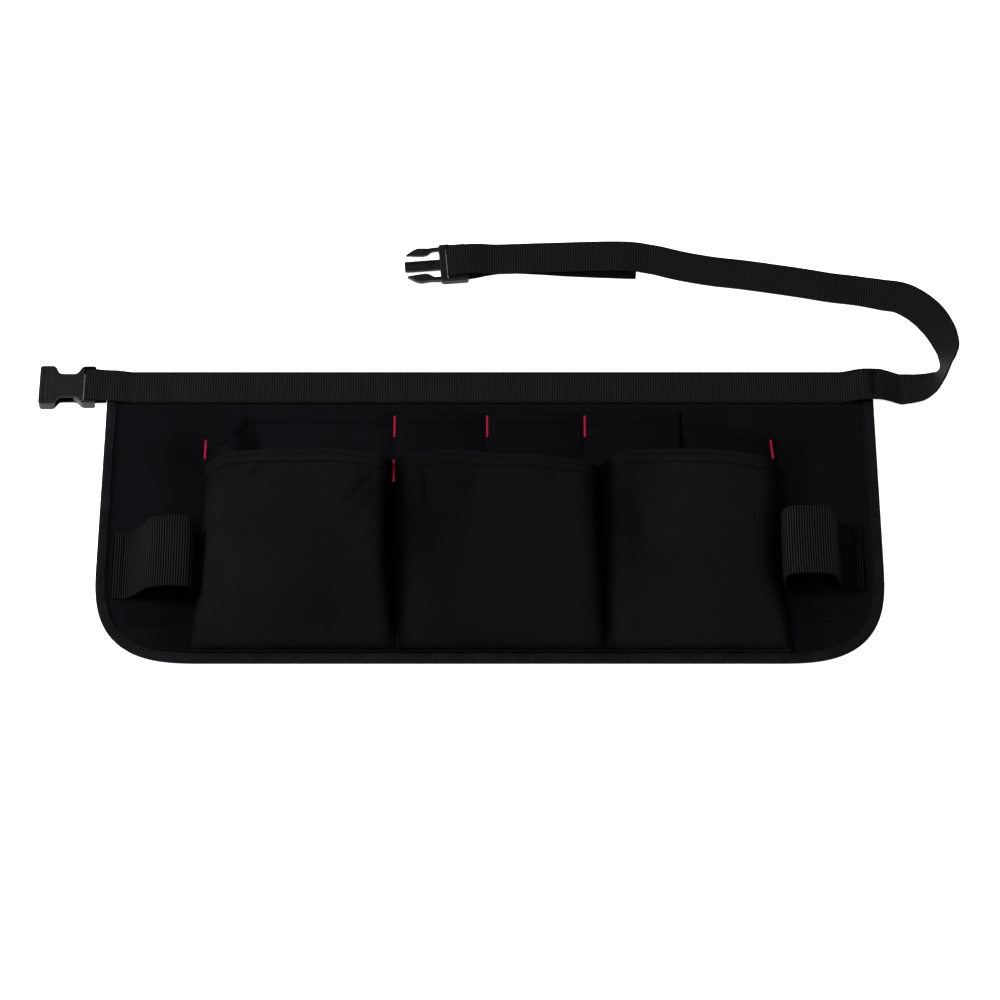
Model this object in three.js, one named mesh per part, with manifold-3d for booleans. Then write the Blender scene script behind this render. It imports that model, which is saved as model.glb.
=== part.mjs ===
// Carpenter nail apron, lying on its back. Millimetres, +X to the wearer's left, +Y towards the belt, +Z up.
// The origin is the middle of the panel's back face.
import * as THREE from 'three';
import { mergeVertices } from 'three/addons/utils/BufferGeometryUtils.js';
import Module from 'manifold-3d';

const wasm = await Module();
wasm.setup();

// Cloth and webbing
const gap = 0.3;
const panelCloth = 1.6;
const pocketCloth = 1.4;
const hemExtra = 0.8;
const hemDepth = 11;
const webbing = 1.6;
const loopWebbing = 1.8;

// Panel and its binding
const panelWidth = 545;
const panelDepth = 234;
const cornerReach = 77;
const cornerPower = 2.9;
const bindingWidth = 7;
const bindingTape = 1;
const rimCloth = 1.4;
const rimSlope = 1.7;
const cornerSteps = 12;

// Belt and free strap
const beltWidth = 25.4;
const beltDrop = 0.6;
const beltRamp = 10;
const beltHump = 2.6;
const strapRise = 110;
const turnReach = 54;
const freeRun = 302;
const tailLength = 135;
const tailShift = 4.3;
const strapArch = 2.4;
const tailLean = 3.3;
const strapSteps = 74;
const foldSteps = 8;

// Upper pocket wall
const upperDepth = 187;
const upperCrown = 6.5;
const seamLand = 1.8;
const pleatStep = 1.6;
const pleatWidth = 5;
const pleatLeft = 0.84;
const pleatRight = 0.66;
const crownPower = 0.6;

// Lower pockets
const pocketDepth = 149;
const mouthRise = 11;
const bellyRise = 14;
const valleyWidth = 7.4;
const sideFlange = 3;
const seamFlare = 10;
const seamLeft = 202;
const seamRight = 200;
const dividerLeft = 67.5;
const dividerMiddle = 2;
const dividerUpperRight = 67;
const dividerLowerRight = 79;
const shoulderShare = 0.15;
const footShare = 0.26;
const shoulderPower = 2.4;
const bellyShare = 0.8;

// Hammer loops
const loopWidth = 52;
const loopReach = 53;
const loopHeightLeft = 21.5;
const loopHeightRight = 25;
const loopPlaceLeft = 42;
const loopPlaceRight = 36.5;
const loopClear = 5.5;
const loopSteps = 20;

// Bartacks
const tackWidth = 1.8;
const tackLength = 18;
const tackThread = 1;
const cornerTack = 16;

// Side-release buckle
const buckleWidth = 31;
const buckleThick = 9;
const buckleWall = 1.6;
const socketLength = 40;
const socketWaist = 17.5;
const socketStand = 8;
const socketCavity = 0.62;
const barLength = 5.5;
const barInset = 0.5;
const slotWidth = 3.6;
const frameLength = 12.5;
const crossBar = 4;
const plugThick = 5.6;
const plugDrop = 4.6;
const plugPlay = 0.9;
const socketDrop = 0.9;
const plugWidth = 29.6;
const plugChamfer = 3;
const prongLength = 27;
const prongLean = 3;
const prongInset = 0.5;
const guideInset = 0.8;
const barThick = 2.4;
const slotSpare = 2.2;

// Heights and edges that follow from the sizes above
const halfWidth = panelWidth / 2;
const halfDepth = panelDepth / 2;
const rimLow = bindingTape + gap;
const bindingTop = rimLow + rimCloth + gap + bindingTape;
const upperFoot = panelCloth + gap;
const pocketBottom = -halfDepth + bindingWidth + gap + rimSlope + gap;
const upperTop = pocketBottom + upperDepth;
const lowerTop = pocketBottom + pocketDepth;
const beltCentre = halfDepth - beltDrop - beltWidth / 2;
const beltFlat = panelCloth + gap + webbing / 2;
const beltOver = bindingTop + gap + webbing / 2;
const strapFlat = webbing / 2;
const strapOver = webbing * 1.5 + gap;
const cornerTackY = lowerTop + cornerTack / 2 + 2;

// Shares down the lower pockets, with how far the side seams swing out there, in shares of seamFlare.
const seamSwing = [
  { down: -0.3, left: 0, right: 0 },
  { down: 0, left: 0, right: 0 },
  { down: 0.2, left: -0.2, right: 0.2 },
  { down: 0.45, left: -0.1, right: -0.3 },
  { down: 0.6, left: 0, right: -0.4 },
  { down: 0.75, left: 0, right: 0.4 },
  { down: 0.88, left: 0.1, right: 0.7 },
  { down: 1, left: 0.2, right: 0.8 },
];

// The upper wall's top edge: place in shares of the half width between its seams, drop in shares of
// upperDepth.
const upperEdge = [
  { across: -1, drop: 0.115 },
  { across: -0.93, drop: 0.08 },
  { across: -0.85, drop: 0 },
  { across: 0.66, drop: 0 },
  { across: 0.7, drop: 0.035 },
  { across: 0.85, drop: 0.06 },
  { across: 1, drop: 0.1 },
];

// Each lower mouth's edge, left to right: drop in shares of pocketDepth.
const mouthEdge = [
  { across: 0, left: 0.05, middle: 0.02, right: 0.03 },
  { across: 0.12, left: 0.012, middle: 0.01, right: 0 },
  { across: 0.4, left: 0, middle: 0.005, right: 0 },
  { across: 0.7, left: 0, middle: 0.03, right: 0.005 },
  { across: 1, left: 0.02, middle: 0.055, right: 0.025 },
];

// Dents and folds of the lower pockets: place and spread in shares of the pocket, depth in shares of
// mouthRise.
const pocketDents = [
  { pocket: 'left', across: 0.25, down: 0.08, wide: 0.07, long: 0.08, depth: 0.12 },
  { pocket: 'left', across: 0.84, down: 0.34, wide: 0.06, long: 0.12, depth: 0.14 },
  { pocket: 'left', across: 0.1, down: 0.72, wide: 0.06, long: 0.2, depth: 0.2 },
  { pocket: 'middle', across: 0.14, down: 0.18, wide: 0.05, long: 0.14, depth: 0.16 },
  { pocket: 'middle', across: 0.36, down: 0.14, wide: 0.06, long: 0.06, depth: 0.08 },
  { pocket: 'middle', across: 0.9, down: 0.1, wide: 0.05, long: 0.08, depth: -0.08 },
  { pocket: 'right', across: 0.2, down: 0.42, wide: 0.14, long: 0.25, depth: 0.15 },
  { pocket: 'right', across: 0.95, down: 0.55, wide: 0.08, long: 0.15, depth: 0.3 },
  { pocket: 'right', across: 0.9, down: 0.08, wide: 0.05, long: 0.05, depth: 0.12 },
];

// A hammer loop's line: along in shares of loopReach from its outer end, rise in shares of its height.
const loopLine = [
  { along: 0, rise: 0 },
  { along: 0.12, rise: 0 },
  { along: 0.23, rise: 0.01 },
  { along: 0.31, rise: 0.2 },
  { along: 0.38, rise: 0.55 },
  { along: 0.45, rise: 0.85 },
  { along: 0.54, rise: 0.97 },
  { along: 0.66, rise: 1 },
  { along: 0.8, rise: 0.97 },
  { along: 0.92, rise: 0.84 },
  { along: 0.98, rise: 0.6 },
  { along: 1, rise: 0.3 },
  { along: 1, rise: 0.02 },
];
// How much higher each loop's end towards the belt stands, in shares of its height.
const loopTilt = { left: 0.16, right: 0.06 };

// The turn of the free strap. out: shares of turnReach past the panel's side. rise: shares of strapRise above
// the belt. facing: the plan angle from the inner to the outer edge. bank: how far the outer edge is raised.
// lift: height of the middle, in shares of the belt's height over the binding, where it isn't on the floor.
const strapTurn = [
  { out: 0.005, rise: 0, facing: -90, bank: 0, lift: 1 },
  { out: 0.1, rise: 0, facing: -90, bank: 0, lift: 0.92 },
  { out: 0.22, rise: 0, facing: -89, bank: 0, lift: 0.55 },
  { out: 0.34, rise: -0.005, facing: -88, bank: 0, lift: 0.2 },
  { out: 0.44, rise: -0.005, facing: -88, bank: 3 },
  { out: 0.64, rise: -0.002, facing: -87, bank: 11 },
  { out: 0.79, rise: 0.018, facing: -86, bank: 26 },
  { out: 0.89, rise: 0.054, facing: -80, bank: 48 },
  { out: 0.96, rise: 0.119, facing: -66, bank: 62 },
  { out: 0.99, rise: 0.202, facing: -48, bank: 53 },
  { out: 0.985, rise: 0.287, facing: -30, bank: 39 },
  { out: 0.95, rise: 0.375, facing: -17, bank: 26 },
  { out: 0.88, rise: 0.48, facing: 4, bank: 13 },
  { out: 0.77, rise: 0.571, facing: 27, bank: 9 },
  { out: 0.61, rise: 0.647, facing: 46, bank: 8 },
  { out: 0.44, rise: 0.698, facing: 69, bank: 6 },
  { out: 0.21, rise: 0.722, facing: 82, bank: 4 },
];
// The straight run back to the plug. back: shares of freeRun from the panel's side. rise: as above.
const strapBack = [
  { back: 0.015, rise: 0.755, facing: 83 },
  { back: 0.088, rise: 0.785, facing: 81 },
  { back: 0.157, rise: 0.822, facing: 79 },
  { back: 0.23, rise: 0.857, facing: 79 },
  { back: 0.3, rise: 0.888, facing: 81 },
  { back: 0.372, rise: 0.915, facing: 79 },
  { back: 0.445, rise: 0.957, facing: 73 },
];

// The tail under the strap, from the plug's bar to its hemmed end. along: shares of tailLength. drop: shares
// of tailShift towards the panel.
const strapTail = [
  { along: 0.11, drop: 0.86 },
  { along: 0.2, drop: 0.35 },
  { along: 0.31, drop: -0.05 },
  { along: 0.45, drop: 0 },
  { along: 0.6, drop: 0.42 },
  { along: 0.78, drop: 0.7 },
  { along: 1, drop: 1 },
];

// Where the grids of the pocket walls have their lines, in shares of each span.
const wallAcross = [0.12, 0.3, 0.5, 0.7, 0.88];
const wallDown = [0, 0.05, 0.15, 0.28, 0.42, 0.58, 0.75, 0.9, 1];
const pocketAcross = [0, 0.012, 0.03, 0.06, 0.1, 0.15, 0.22, 0.3, 0.4, 0.5];
const hemDown = [0, 0.035, hemDepth / pocketDepth];
const pocketDown = [0.11, 0.18, 0.27, 0.37, 0.48, 0.58, 0.68, 0.77, 0.85, 0.92, 0.97, 0.99, 1];

const canvasBlack = new THREE.MeshStandardMaterial({ color: 0x131316, roughness: 0.92, metalness: 0 });
const tapeBlack = new THREE.MeshStandardMaterial({ color: 0x18181b, roughness: 0.85, metalness: 0 });
const webbingBlack = new THREE.MeshStandardMaterial({ color: 0x1d1d20, roughness: 0.7, metalness: 0 });
const threadRed = new THREE.MeshStandardMaterial({ color: 0xb81642, roughness: 0.6, metalness: 0 });
const buckleBlack = new THREE.MeshStandardMaterial({ color: 0x232326, roughness: 0.45, metalness: 0 });

const apron = new THREE.Group();

function add(name, geometry, material) {
  const mesh = new THREE.Mesh(geometry, material);
  mesh.name = name;
  apron.add(mesh);
  return mesh;
}

function geometryOf(points, triangles) {
  const geometry = new THREE.BufferGeometry();
  geometry.setAttribute('position', new THREE.Float32BufferAttribute(points.flatMap((p) => p.toArray()), 3));
  geometry.setIndex(triangles.flat());
  geometry.computeVertexNormals();
  return geometry;
}

// Reads a column of a table, straight between its rows.
function read(table, key, column, at) {
  const next = table.findIndex((row) => row[key] >= at);
  if (next === 0) return table[0][column];
  if (next === -1) return table.at(-1)[column];
  const [a, b] = [table[next - 1], table[next]];
  return THREE.MathUtils.mapLinear(at, a[key], b[key], a[column], b[column]);
}

// A rise from 0 to 1 over a rounded shoulder.
function shoulder(distance) {
  const left = 1 - THREE.MathUtils.clamp(distance, 0, 1);
  return Math.pow(1 - Math.pow(left, shoulderPower), 1 / shoulderPower);
}

// A closed wall of cloth from a grid of points. seat is the share of the thickness that lies under the grid.
function clothWall(grid, thickness, seat = 0) {
  const rows = grid.length;
  const columns = grid[0].length;
  const thick = typeof thickness === 'function' ? thickness : () => thickness;
  const upper = [];
  const lower = [];
  for (let i = 0; i < rows; i += 1) {
    for (let j = 0; j < columns; j += 1) {
      const along = grid[Math.min(i + 1, rows - 1)][j].clone().sub(grid[Math.max(i - 1, 0)][j]);
      const across = grid[i][Math.min(j + 1, columns - 1)].clone().sub(grid[i][Math.max(j - 1, 0)]);
      const normal = along.cross(across).normalize();
      upper.push(grid[i][j].clone().addScaledVector(normal, thick(i, j) * (1 - seat)));
      lower.push(grid[i][j].clone().addScaledVector(normal, -thick(i, j) * seat));
    }
  }
  const at = (i, j) => i * columns + j;
  const triangles = [];
  for (let i = 0; i + 1 < rows; i += 1) {
    for (let j = 0; j + 1 < columns; j += 1) {
      triangles.push([at(i, j), at(i + 1, j), at(i + 1, j + 1)], [at(i, j), at(i + 1, j + 1), at(i, j + 1)]);
    }
  }
  return closed(upper, lower, triangles);
}

// Closes an upper and a lower skin that share one list of triangles with a wall round their open edges.
function closed(upper, lower, triangles) {
  const shift = upper.length;
  const open = new Map();
  for (const [a, b, c] of triangles) {
    for (const [from, to] of [[a, b], [b, c], [c, a]]) {
      if (!open.delete(`${to},${from}`)) open.set(`${from},${to}`, [from, to]);
    }
  }
  const wall = [...open.values()].flatMap(([a, b]) => [[a, a + shift, b + shift], [a, b + shift, b]]);
  const under = triangles.map(([a, b, c]) => [c + shift, b + shift, a + shift]);
  return geometryOf([...upper, ...lower], [...triangles, ...under, ...wall]);
}

// The bound edge, inset by a distance: down the left side, round both soft lower corners, up the right side.
function boundEdge(inset) {
  const points = [new THREE.Vector2(-halfWidth + inset, halfDepth)];
  for (const side of [-1, 1]) {
    for (let k = 0; k <= cornerSteps; k += 1) {
      const share = side < 0 ? k / cornerSteps : 1 - k / cornerSteps;
      const angle = share * (Math.PI / 2);
      const out = Math.pow(Math.cos(angle), 2 / cornerPower);
      const down = Math.pow(Math.sin(angle), 2 / cornerPower);
      const steep = cornerPower - 1;
      const normal = new THREE.Vector2(Math.pow(out, steep), Math.pow(down, steep)).normalize();
      points.push(new THREE.Vector2(
        side * (halfWidth - cornerReach + out * cornerReach - normal.x * inset),
        -(halfDepth - cornerReach + down * cornerReach - normal.y * inset)));
    }
  }
  points.push(new THREE.Vector2(halfWidth - inset, halfDepth));
  return points;
}

// The panel lies flat, with a thinner rim lifted by the binding's lower leg.
function panel() {
  const rings = [
    { inset: rimLow, low: rimLow, high: rimLow + rimCloth },
    { inset: bindingWidth + gap, low: rimLow, high: rimLow + rimCloth },
    { inset: bindingWidth + gap + rimSlope, low: 0, high: panelCloth },
  ];
  const upper = [];
  const lower = [];
  const outlines = rings.map((ring) => boundEdge(ring.inset));
  rings.forEach((ring, r) => {
    for (const p of outlines[r]) {
      upper.push(new THREE.Vector3(p.x, p.y, ring.high));
      lower.push(new THREE.Vector3(p.x, p.y, ring.low));
    }
  });
  const count = outlines[0].length;
  const triangles = [];
  for (let r = 0; r + 1 < rings.length; r += 1) {
    for (let k = 0; k + 1 < count; k += 1) {
      const a = r * count + k;
      triangles.push([a, a + 1, a + count + 1], [a, a + count + 1, a + count]);
    }
  }
  const first = (rings.length - 1) * count;
  for (const face of THREE.ShapeUtils.triangulateShape(outlines.at(-1), [])) {
    triangles.push(face.map((k) => k + first));
  }
  return closed(upper, lower, triangles);
}

// A folded tape round the rim: outer wall, lower leg and upper leg.
function edgeBinding() {
  const section = [
    { inset: 0, height: 0 },
    { inset: 0, height: bindingTop },
    { inset: bindingWidth, height: bindingTop },
    { inset: bindingWidth, height: bindingTop - bindingTape },
    { inset: bindingTape, height: bindingTop - bindingTape },
    { inset: bindingTape, height: bindingTape },
    { inset: bindingWidth, height: bindingTape },
    { inset: bindingWidth, height: 0 },
  ];
  const lines = section.map((corner) => boundEdge(corner.inset));
  const count = lines[0].length;
  const points = [];
  for (let k = 0; k < count; k += 1) {
    section.forEach((corner, s) => {
      points.push(new THREE.Vector3(lines[s][k].x, lines[s][k].y, corner.height));
    });
  }
  const size = section.length;
  const triangles = [];
  for (let k = 0; k + 1 < count; k += 1) {
    for (let s = 0; s < size; s += 1) {
      const [a, b] = [k * size + s, k * size + ((s + 1) % size)];
      triangles.push([a, b, b + size], [a, b + size, a + size]);
    }
  }
  const flat = section.map((corner) => new THREE.Vector2(corner.inset, corner.height));
  const last = (count - 1) * size;
  for (const face of THREE.ShapeUtils.triangulateShape(flat, [])) {
    const turned = THREE.ShapeUtils.isClockWise(flat) ? [...face].reverse() : face;
    triangles.push([turned[2], turned[1], turned[0]], turned.map((k) => k + last));
  }
  return outward(geometryOf(points, triangles));
}

// Turns a closed geometry's faces out.
function outward(geometry) {
  const body = solidOf(geometry);
  if (body.volume() > 0) return geometry;
  const index = Array.from(geometry.index.array);
  for (let k = 0; k < index.length; k += 3) [index[k], index[k + 1]] = [index[k + 1], index[k]];
  geometry.setIndex(index);
  geometry.computeVertexNormals();
  return geometry;
}

function solidOf(geometry) {
  const bare = geometry.clone();
  bare.deleteAttribute('normal');
  bare.deleteAttribute('uv');
  const merged = mergeVertices(bare);
  return new wasm.Manifold(new wasm.Mesh({
    numProp: 3,
    vertProperties: new Float32Array(merged.attributes.position.array),
    triVerts: new Uint32Array(merged.index.array),
  }));
}

function geometryFrom(body) {
  const mesh = body.getMesh();
  const geometry = new THREE.BufferGeometry();
  geometry.setAttribute('position', new THREE.BufferAttribute(new Float32Array(mesh.vertProperties), 3));
  geometry.setIndex(Array.from(mesh.triVerts));
  geometry.computeVertexNormals();
  return geometry;
}

// A ribbon of webbing through stations, each with a centre and a unit vector across it.
function ribbon(stations, width, thickness) {
  const grid = stations.map(({ centre, across }) => [-0.5, 0, 0.5].map((share) => (
    centre.clone().addScaledVector(across, share * width))));
  return outward(clothWall(grid, thickness, 0.5));
}

// Half a turn of webbing round a bar, from below it to above it, on its left.
function roundBar(x, low, high, y, steps) {
  const radius = (high - low) / 2;
  return Array.from({ length: steps + 1 }, (_, k) => {
    const angle = -Math.PI / 2 - (k / steps) * Math.PI;
    return new THREE.Vector3(x + radius * Math.cos(angle), y, (low + high) / 2 + radius * Math.sin(angle));
  });
}

// The socket's bar: where it lies, and the webbing's middle above and below it.
const socketBar = {
  x: -halfWidth - socketStand - barLength,
  low: (buckleThick - barThick) / 2,
  high: (buckleThick + barThick) / 2,
};
const plugBar = { x: halfWidth + gap - freeRun, low: webbing + gap, high: webbing + gap + barThick };

// The belt: round the socket's bar, over the binding, flat on the panel, and up to the strap's root.
function waistBelt() {
  const reach = webbing / 2 + gap;
  const y = beltCentre;
  const low = socketBar.low - reach;
  const high = socketBar.high + reach;
  const line = [
    new THREE.Vector3(-halfWidth - gap * 2, y, beltOver / 2),
    new THREE.Vector3(socketBar.x + barLength, y, low),
    ...roundBar(socketBar.x + barInset, low, high, y, foldSteps),
    new THREE.Vector3(socketBar.x + barLength, y, high),
    new THREE.Vector3(-halfWidth - gap, y, beltOver + gap),
    new THREE.Vector3(-halfWidth + bindingWidth, y, beltOver),
    new THREE.Vector3(-halfWidth + bindingWidth + beltRamp, y, beltFlat),
    new THREE.Vector3(halfWidth - bindingWidth - beltRamp * 1.5, y, beltFlat),
    new THREE.Vector3(halfWidth - bindingWidth - beltRamp / 2, y, beltOver + beltHump / 2),
    new THREE.Vector3(halfWidth - bindingWidth, y, beltOver + beltHump),
    new THREE.Vector3(halfWidth - gap, y, beltOver + beltHump),
  ];
  return ribbon(line.map((centre) => ({ centre, across: new THREE.Vector3(0, 1, 0) })), beltWidth, webbing);
}

// The free strap: down from the belt's end, round its banked turn, back to the plug, round its bar and
// back again under itself as the tail.
function freeStrap() {
  const side = halfWidth;
  const facing = (degrees, bank) => {
    const plan = THREE.MathUtils.degToRad(degrees);
    const up = THREE.MathUtils.degToRad(bank);
    return new THREE.Vector3(
      Math.cos(plan) * Math.cos(up), Math.sin(plan) * Math.cos(up), Math.sin(up));
  };
  const key = [];
  const put = (x, y, z, across) => key.push({ centre: new THREE.Vector3(x, y, z), across });
  for (const row of strapTurn) {
    const height = (row.lift ?? 0) * (beltOver + beltHump);
    put(side + row.out * turnReach, beltCentre + row.rise * strapRise, height, facing(row.facing, row.bank));
  }
  for (const row of strapBack) {
    put(side - row.back * freeRun, beltCentre + row.rise * strapRise, strapFlat, facing(row.facing, 0));
  }
  const flat = facing(90, 0);
  const barTop = plugBar.high + gap + webbing / 2;
  const y = beltCentre + strapRise;
  const tailEnd = plugBar.x + tailLength;
  const foldDrop = plugDrop - plugPlay;
  put(tailEnd + beltRamp, y + strapArch / 2, strapFlat, facing(84, 0));
  put(tailEnd - beltRamp / 2, y + strapArch, strapOver, facing(88, 0));
  put((tailEnd + plugBar.x) / 2, y + strapArch / 2, strapOver, flat);
  put(plugBar.x + frameLength + beltRamp * 2, y, strapOver, flat);
  put(plugBar.x + frameLength + beltRamp, y, (strapOver + barTop) / 2, flat);
  put(plugBar.x + frameLength + 2, y, barTop, flat);
  put(plugBar.x + frameLength / 2, y - foldDrop * 0.3, barTop, flat);
  put(plugBar.x + barInset + 1, y - foldDrop, barTop, flat);
  const smooth = smoothed(key, strapSteps);
  for (const centre of roundBar(plugBar.x + barInset, strapFlat, barTop, y - foldDrop, foldSteps).reverse()) {
    smooth.push({ centre, across: flat });
  }
  for (const row of strapTail) {
    const x = plugBar.x + row.along * tailLength;
    const lean = facing(90 - tailLean * row.along, 0);
    smooth.push({ centre: new THREE.Vector3(x, y - row.drop * tailShift, strapFlat), across: lean });
  }
  return ribbon(smooth, beltWidth, webbing);
}

// Curves through the centres and the edge directions of some stations.
function smoothed(key, steps) {
  const centres = new THREE.CatmullRomCurve3(key.map((s) => s.centre), false, 'centripetal');
  const across = new THREE.CatmullRomCurve3(key.map((s) => s.across), false, 'catmullrom', 0.4);
  return Array.from({ length: steps + 1 }, (_, k) => {
    const centre = centres.getPoint(k / steps);
    const edge = across.getPoint(k / steps).normalize();
    const lowest = (beltWidth / 2) * Math.abs(edge.z) + strapFlat * Math.sqrt(1 - edge.z ** 2);
    centre.z = Math.max(centre.z, lowest);
    return { centre, across: edge };
  });
}

// The side seams, shared by the upper wall and the lower pockets, at a height on the panel.
function seamAt(y) {
  const down = (lowerTop - y) / pocketDepth;
  return {
    left: -seamLeft - seamFlare * read(seamSwing, 'down', 'left', down),
    right: seamRight + seamFlare * read(seamSwing, 'down', 'right', down),
  };
}

// How far the upper wall stands off the panel: four crowns between seams, fading down to the bottom.
function crownAt(x, y) {
  const seam = seamAt(y);
  const dividers = [-dividerLeft, -dividerMiddle, dividerUpperRight];
  const lines = [seam.left + sideFlange, ...dividers, seam.right - sideFlange];
  const next = lines.findIndex((line) => line > x);
  if (next < 1) return 0;
  const [from, to] = [lines[next - 1] + seamLand, lines[next] - seamLand];
  const share = THREE.MathUtils.clamp((x - from) / (to - from), 0, 1);
  const fade = THREE.MathUtils.clamp((y - pocketBottom) / upperDepth, 0, 1);
  const crown = upperCrown * Math.pow(Math.sin(share * Math.PI), crownPower) * fade;
  return crown + pleatAt(x) * fade;
}

// A pleat near each end of the upper wall, where the cloth steps up over its own fold.
function pleatAt(x) {
  const half = (seamLeft + seamRight) / 2;
  const bump = (place, side) => {
    const away = (side * (x - place)) / pleatWidth;
    return away > 0 ? pleatStep * Math.exp(-away / 2) : pleatStep * Math.max(0, 1 + away);
  };
  return bump(-pleatLeft * half, 1) + bump(pleatRight * half, -1);
}

const upperTopAt = (x, y) => upperFoot + crownAt(x, y) + pocketCloth;

function upperPocket() {
  const half = (seamLeft + seamRight) / 2;
  const lines = [-seamLeft, -seamLeft + sideFlange, -pleatLeft * half, -dividerLeft, -dividerMiddle,
    dividerUpperRight, pleatRight * half, seamRight - sideFlange, seamRight];
  const across = [];
  for (let k = 0; k + 1 < lines.length; k += 1) {
    const span = lines[k + 1] - lines[k];
    const land = seamLand / span;
    const shares = span < sideFlange * 2 ? [0] : [0, land, ...wallAcross, 1 - land];
    for (const share of shares) across.push(lines[k] + share * span);
  }
  across.push(seamRight);
  const grid = wallDown.map((share) => across.map((x) => {
    const drop = read(upperEdge, 'across', 'drop', x / half) * upperDepth;
    const y = upperTop - drop - share * (upperDepth - drop);
    const seam = seamAt(y);
    const place = THREE.MathUtils.mapLinear(x, -seamLeft, seamRight, seam.left, seam.right);
    const held = x > -seamLeft + sideFlange && x < seamRight - sideFlange ? x : place;
    return new THREE.Vector3(held, y, upperFoot + crownAt(held, y));
  }));
  return outward(clothWall(grid, pocketCloth));
}

// A deep front pocket: flat flanges at its seams, near-upright sides and a round foot.
function lowerPocket(name, edges) {
  const both = [...pocketAcross, ...pocketAcross.slice(0, -1).reverse().map((share) => 1 - share)];
  const rows = [...hemDown, ...pocketDown];
  const point = (x, y, rise) => new THREE.Vector3(x, y, upperTopAt(x, y) + gap + rise);
  const grid = rows.map((share) => {
    const low = share === 1;
    const row = both.map((place) => {
      const drop = read(mouthEdge, 'across', name, place) * pocketDepth * (1 - share);
      const y = lowerTop - drop - share * (pocketDepth - sideFlange / 2);
      const [from, to] = edges(y);
      const x = THREE.MathUtils.mapLinear(place, 0, 1, from, to);
      const side = shoulder(Math.min(place, 1 - place) / shoulderShare);
      const foot = shoulder((1 - share) / footShare);
      const belly = mouthRise + (bellyRise - mouthRise) * Math.sin(Math.PI * Math.min(share / bellyShare, 1));
      const rise = low ? 0 : belly * side * foot * (1 - dentAt(name, place, share));
      return point(x, y, rise);
    });
    const [first, last] = [row[0], row.at(-1)];
    const [from, to] = edges(first.y, sideFlange - gap);
    row.unshift(point(from, first.y, 0));
    row.push(point(edges(last.y, sideFlange - gap)[1], last.y, 0));
    return row;
  });
  const foot = grid.at(-1).map((p) => point(p.x, pocketBottom, 0));
  grid.push(foot);
  const thick = (i) => pocketCloth + (i < hemDown.length ? hemExtra : 0);
  return outward(clothWall(grid, thick));
}

function dentAt(name, across, down) {
  return pocketDents.filter((dent) => dent.pocket === name).reduce((sum, dent) => {
    const away = ((across - dent.across) / dent.wide) ** 2 + ((down - dent.down) / dent.long) ** 2;
    return sum + (dent.depth * mouthRise) / bellyRise * Math.exp(-away);
  }, 0);
}

// Where a lower pocket's walls stand, left and right, moved out by a flange.
const valley = valleyWidth / 2;
const pocketEdges = {
  left: (y, out = 0) => [seamAt(y).left + sideFlange - out, -dividerLeft - valley + out],
  middle: (y, out = 0) => [-dividerLeft + valley - out, dividerLowerRight - valley + out],
  right: (y, out = 0) => [dividerLowerRight + valley - out, seamAt(y).right - sideFlange + out],
};

// A hammer loop on one side, its outer end sewn flat and its inner end at the pocket's side seam.
function hammerLoop(name, side) {
  const start = (name === 'left' ? seamLeft : seamRight) + loopClear + loopReach;
  const foot = panelCloth + gap + loopWebbing / 2;
  const height = name === 'left' ? loopHeightLeft : loopHeightRight;
  const place = name === 'left' ? loopPlaceLeft : loopPlaceRight;
  const bends = loopLine.map((row) => new THREE.Vector3(row.along * loopReach, 0, row.rise * height));
  const line = new THREE.CatmullRomCurve3(bends, false, 'centripetal');
  const grid = line.getPoints(loopSteps).map((p) => [-0.5, -0.17, 0.17, 0.5].map((share) => new THREE.Vector3(
    side * (start - p.x), -place + share * loopWidth,
    foot + Math.max(0, p.z) * (1 + 2 * share * loopTilt[name]))));
  return outward(clothWall(grid, loopWebbing, 0.5));
}

// A bartack: a short bar of red thread on the cloth, its middle at x and y.
function bartack(x, y, foot, length) {
  return block(tackWidth, length, tackThread, [x, y, foot + gap + tackThread / 2]);
}

function shapeOf(points) {
  return new THREE.Shape(points.map(([x, y]) => new THREE.Vector2(x, y)));
}

function slab(shape, low, high) {
  const geometry = new THREE.ExtrudeGeometry(shape, { depth: high - low, bevelEnabled: false });
  return geometry.translate(0, 0, low);
}

function block(x, y, z, [cx, cy, cz]) {
  return new THREE.BoxGeometry(x, y, z).translate(cx, cy, cz);
}

// Cuts the slot that the webbing goes through, and thins the plate between the slot and the end to the bar.
// spill is how far the thin plate runs on over the far rail, for webbing that rides up on it.
function webbingSeat(body, bar, end, y, spill = 0) {
  const wide = beltWidth + slotSpare;
  const reach = end - bar.x + 1;
  const slot = block(slotWidth, wide, buckleThick * 3, [bar.x - slotWidth / 2, y, bar.low]);
  const over = block(
    reach, wide + spill, buckleThick, [bar.x + reach / 2, y + spill / 2, bar.high + buckleThick / 2]);
  const under = block(reach, wide, buckleThick, [bar.x + reach / 2, y, bar.low - buckleThick / 2]);
  return [slot, over, under].reduce((left, tool) => left.subtract(solidOf(tool)), body);
}

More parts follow.
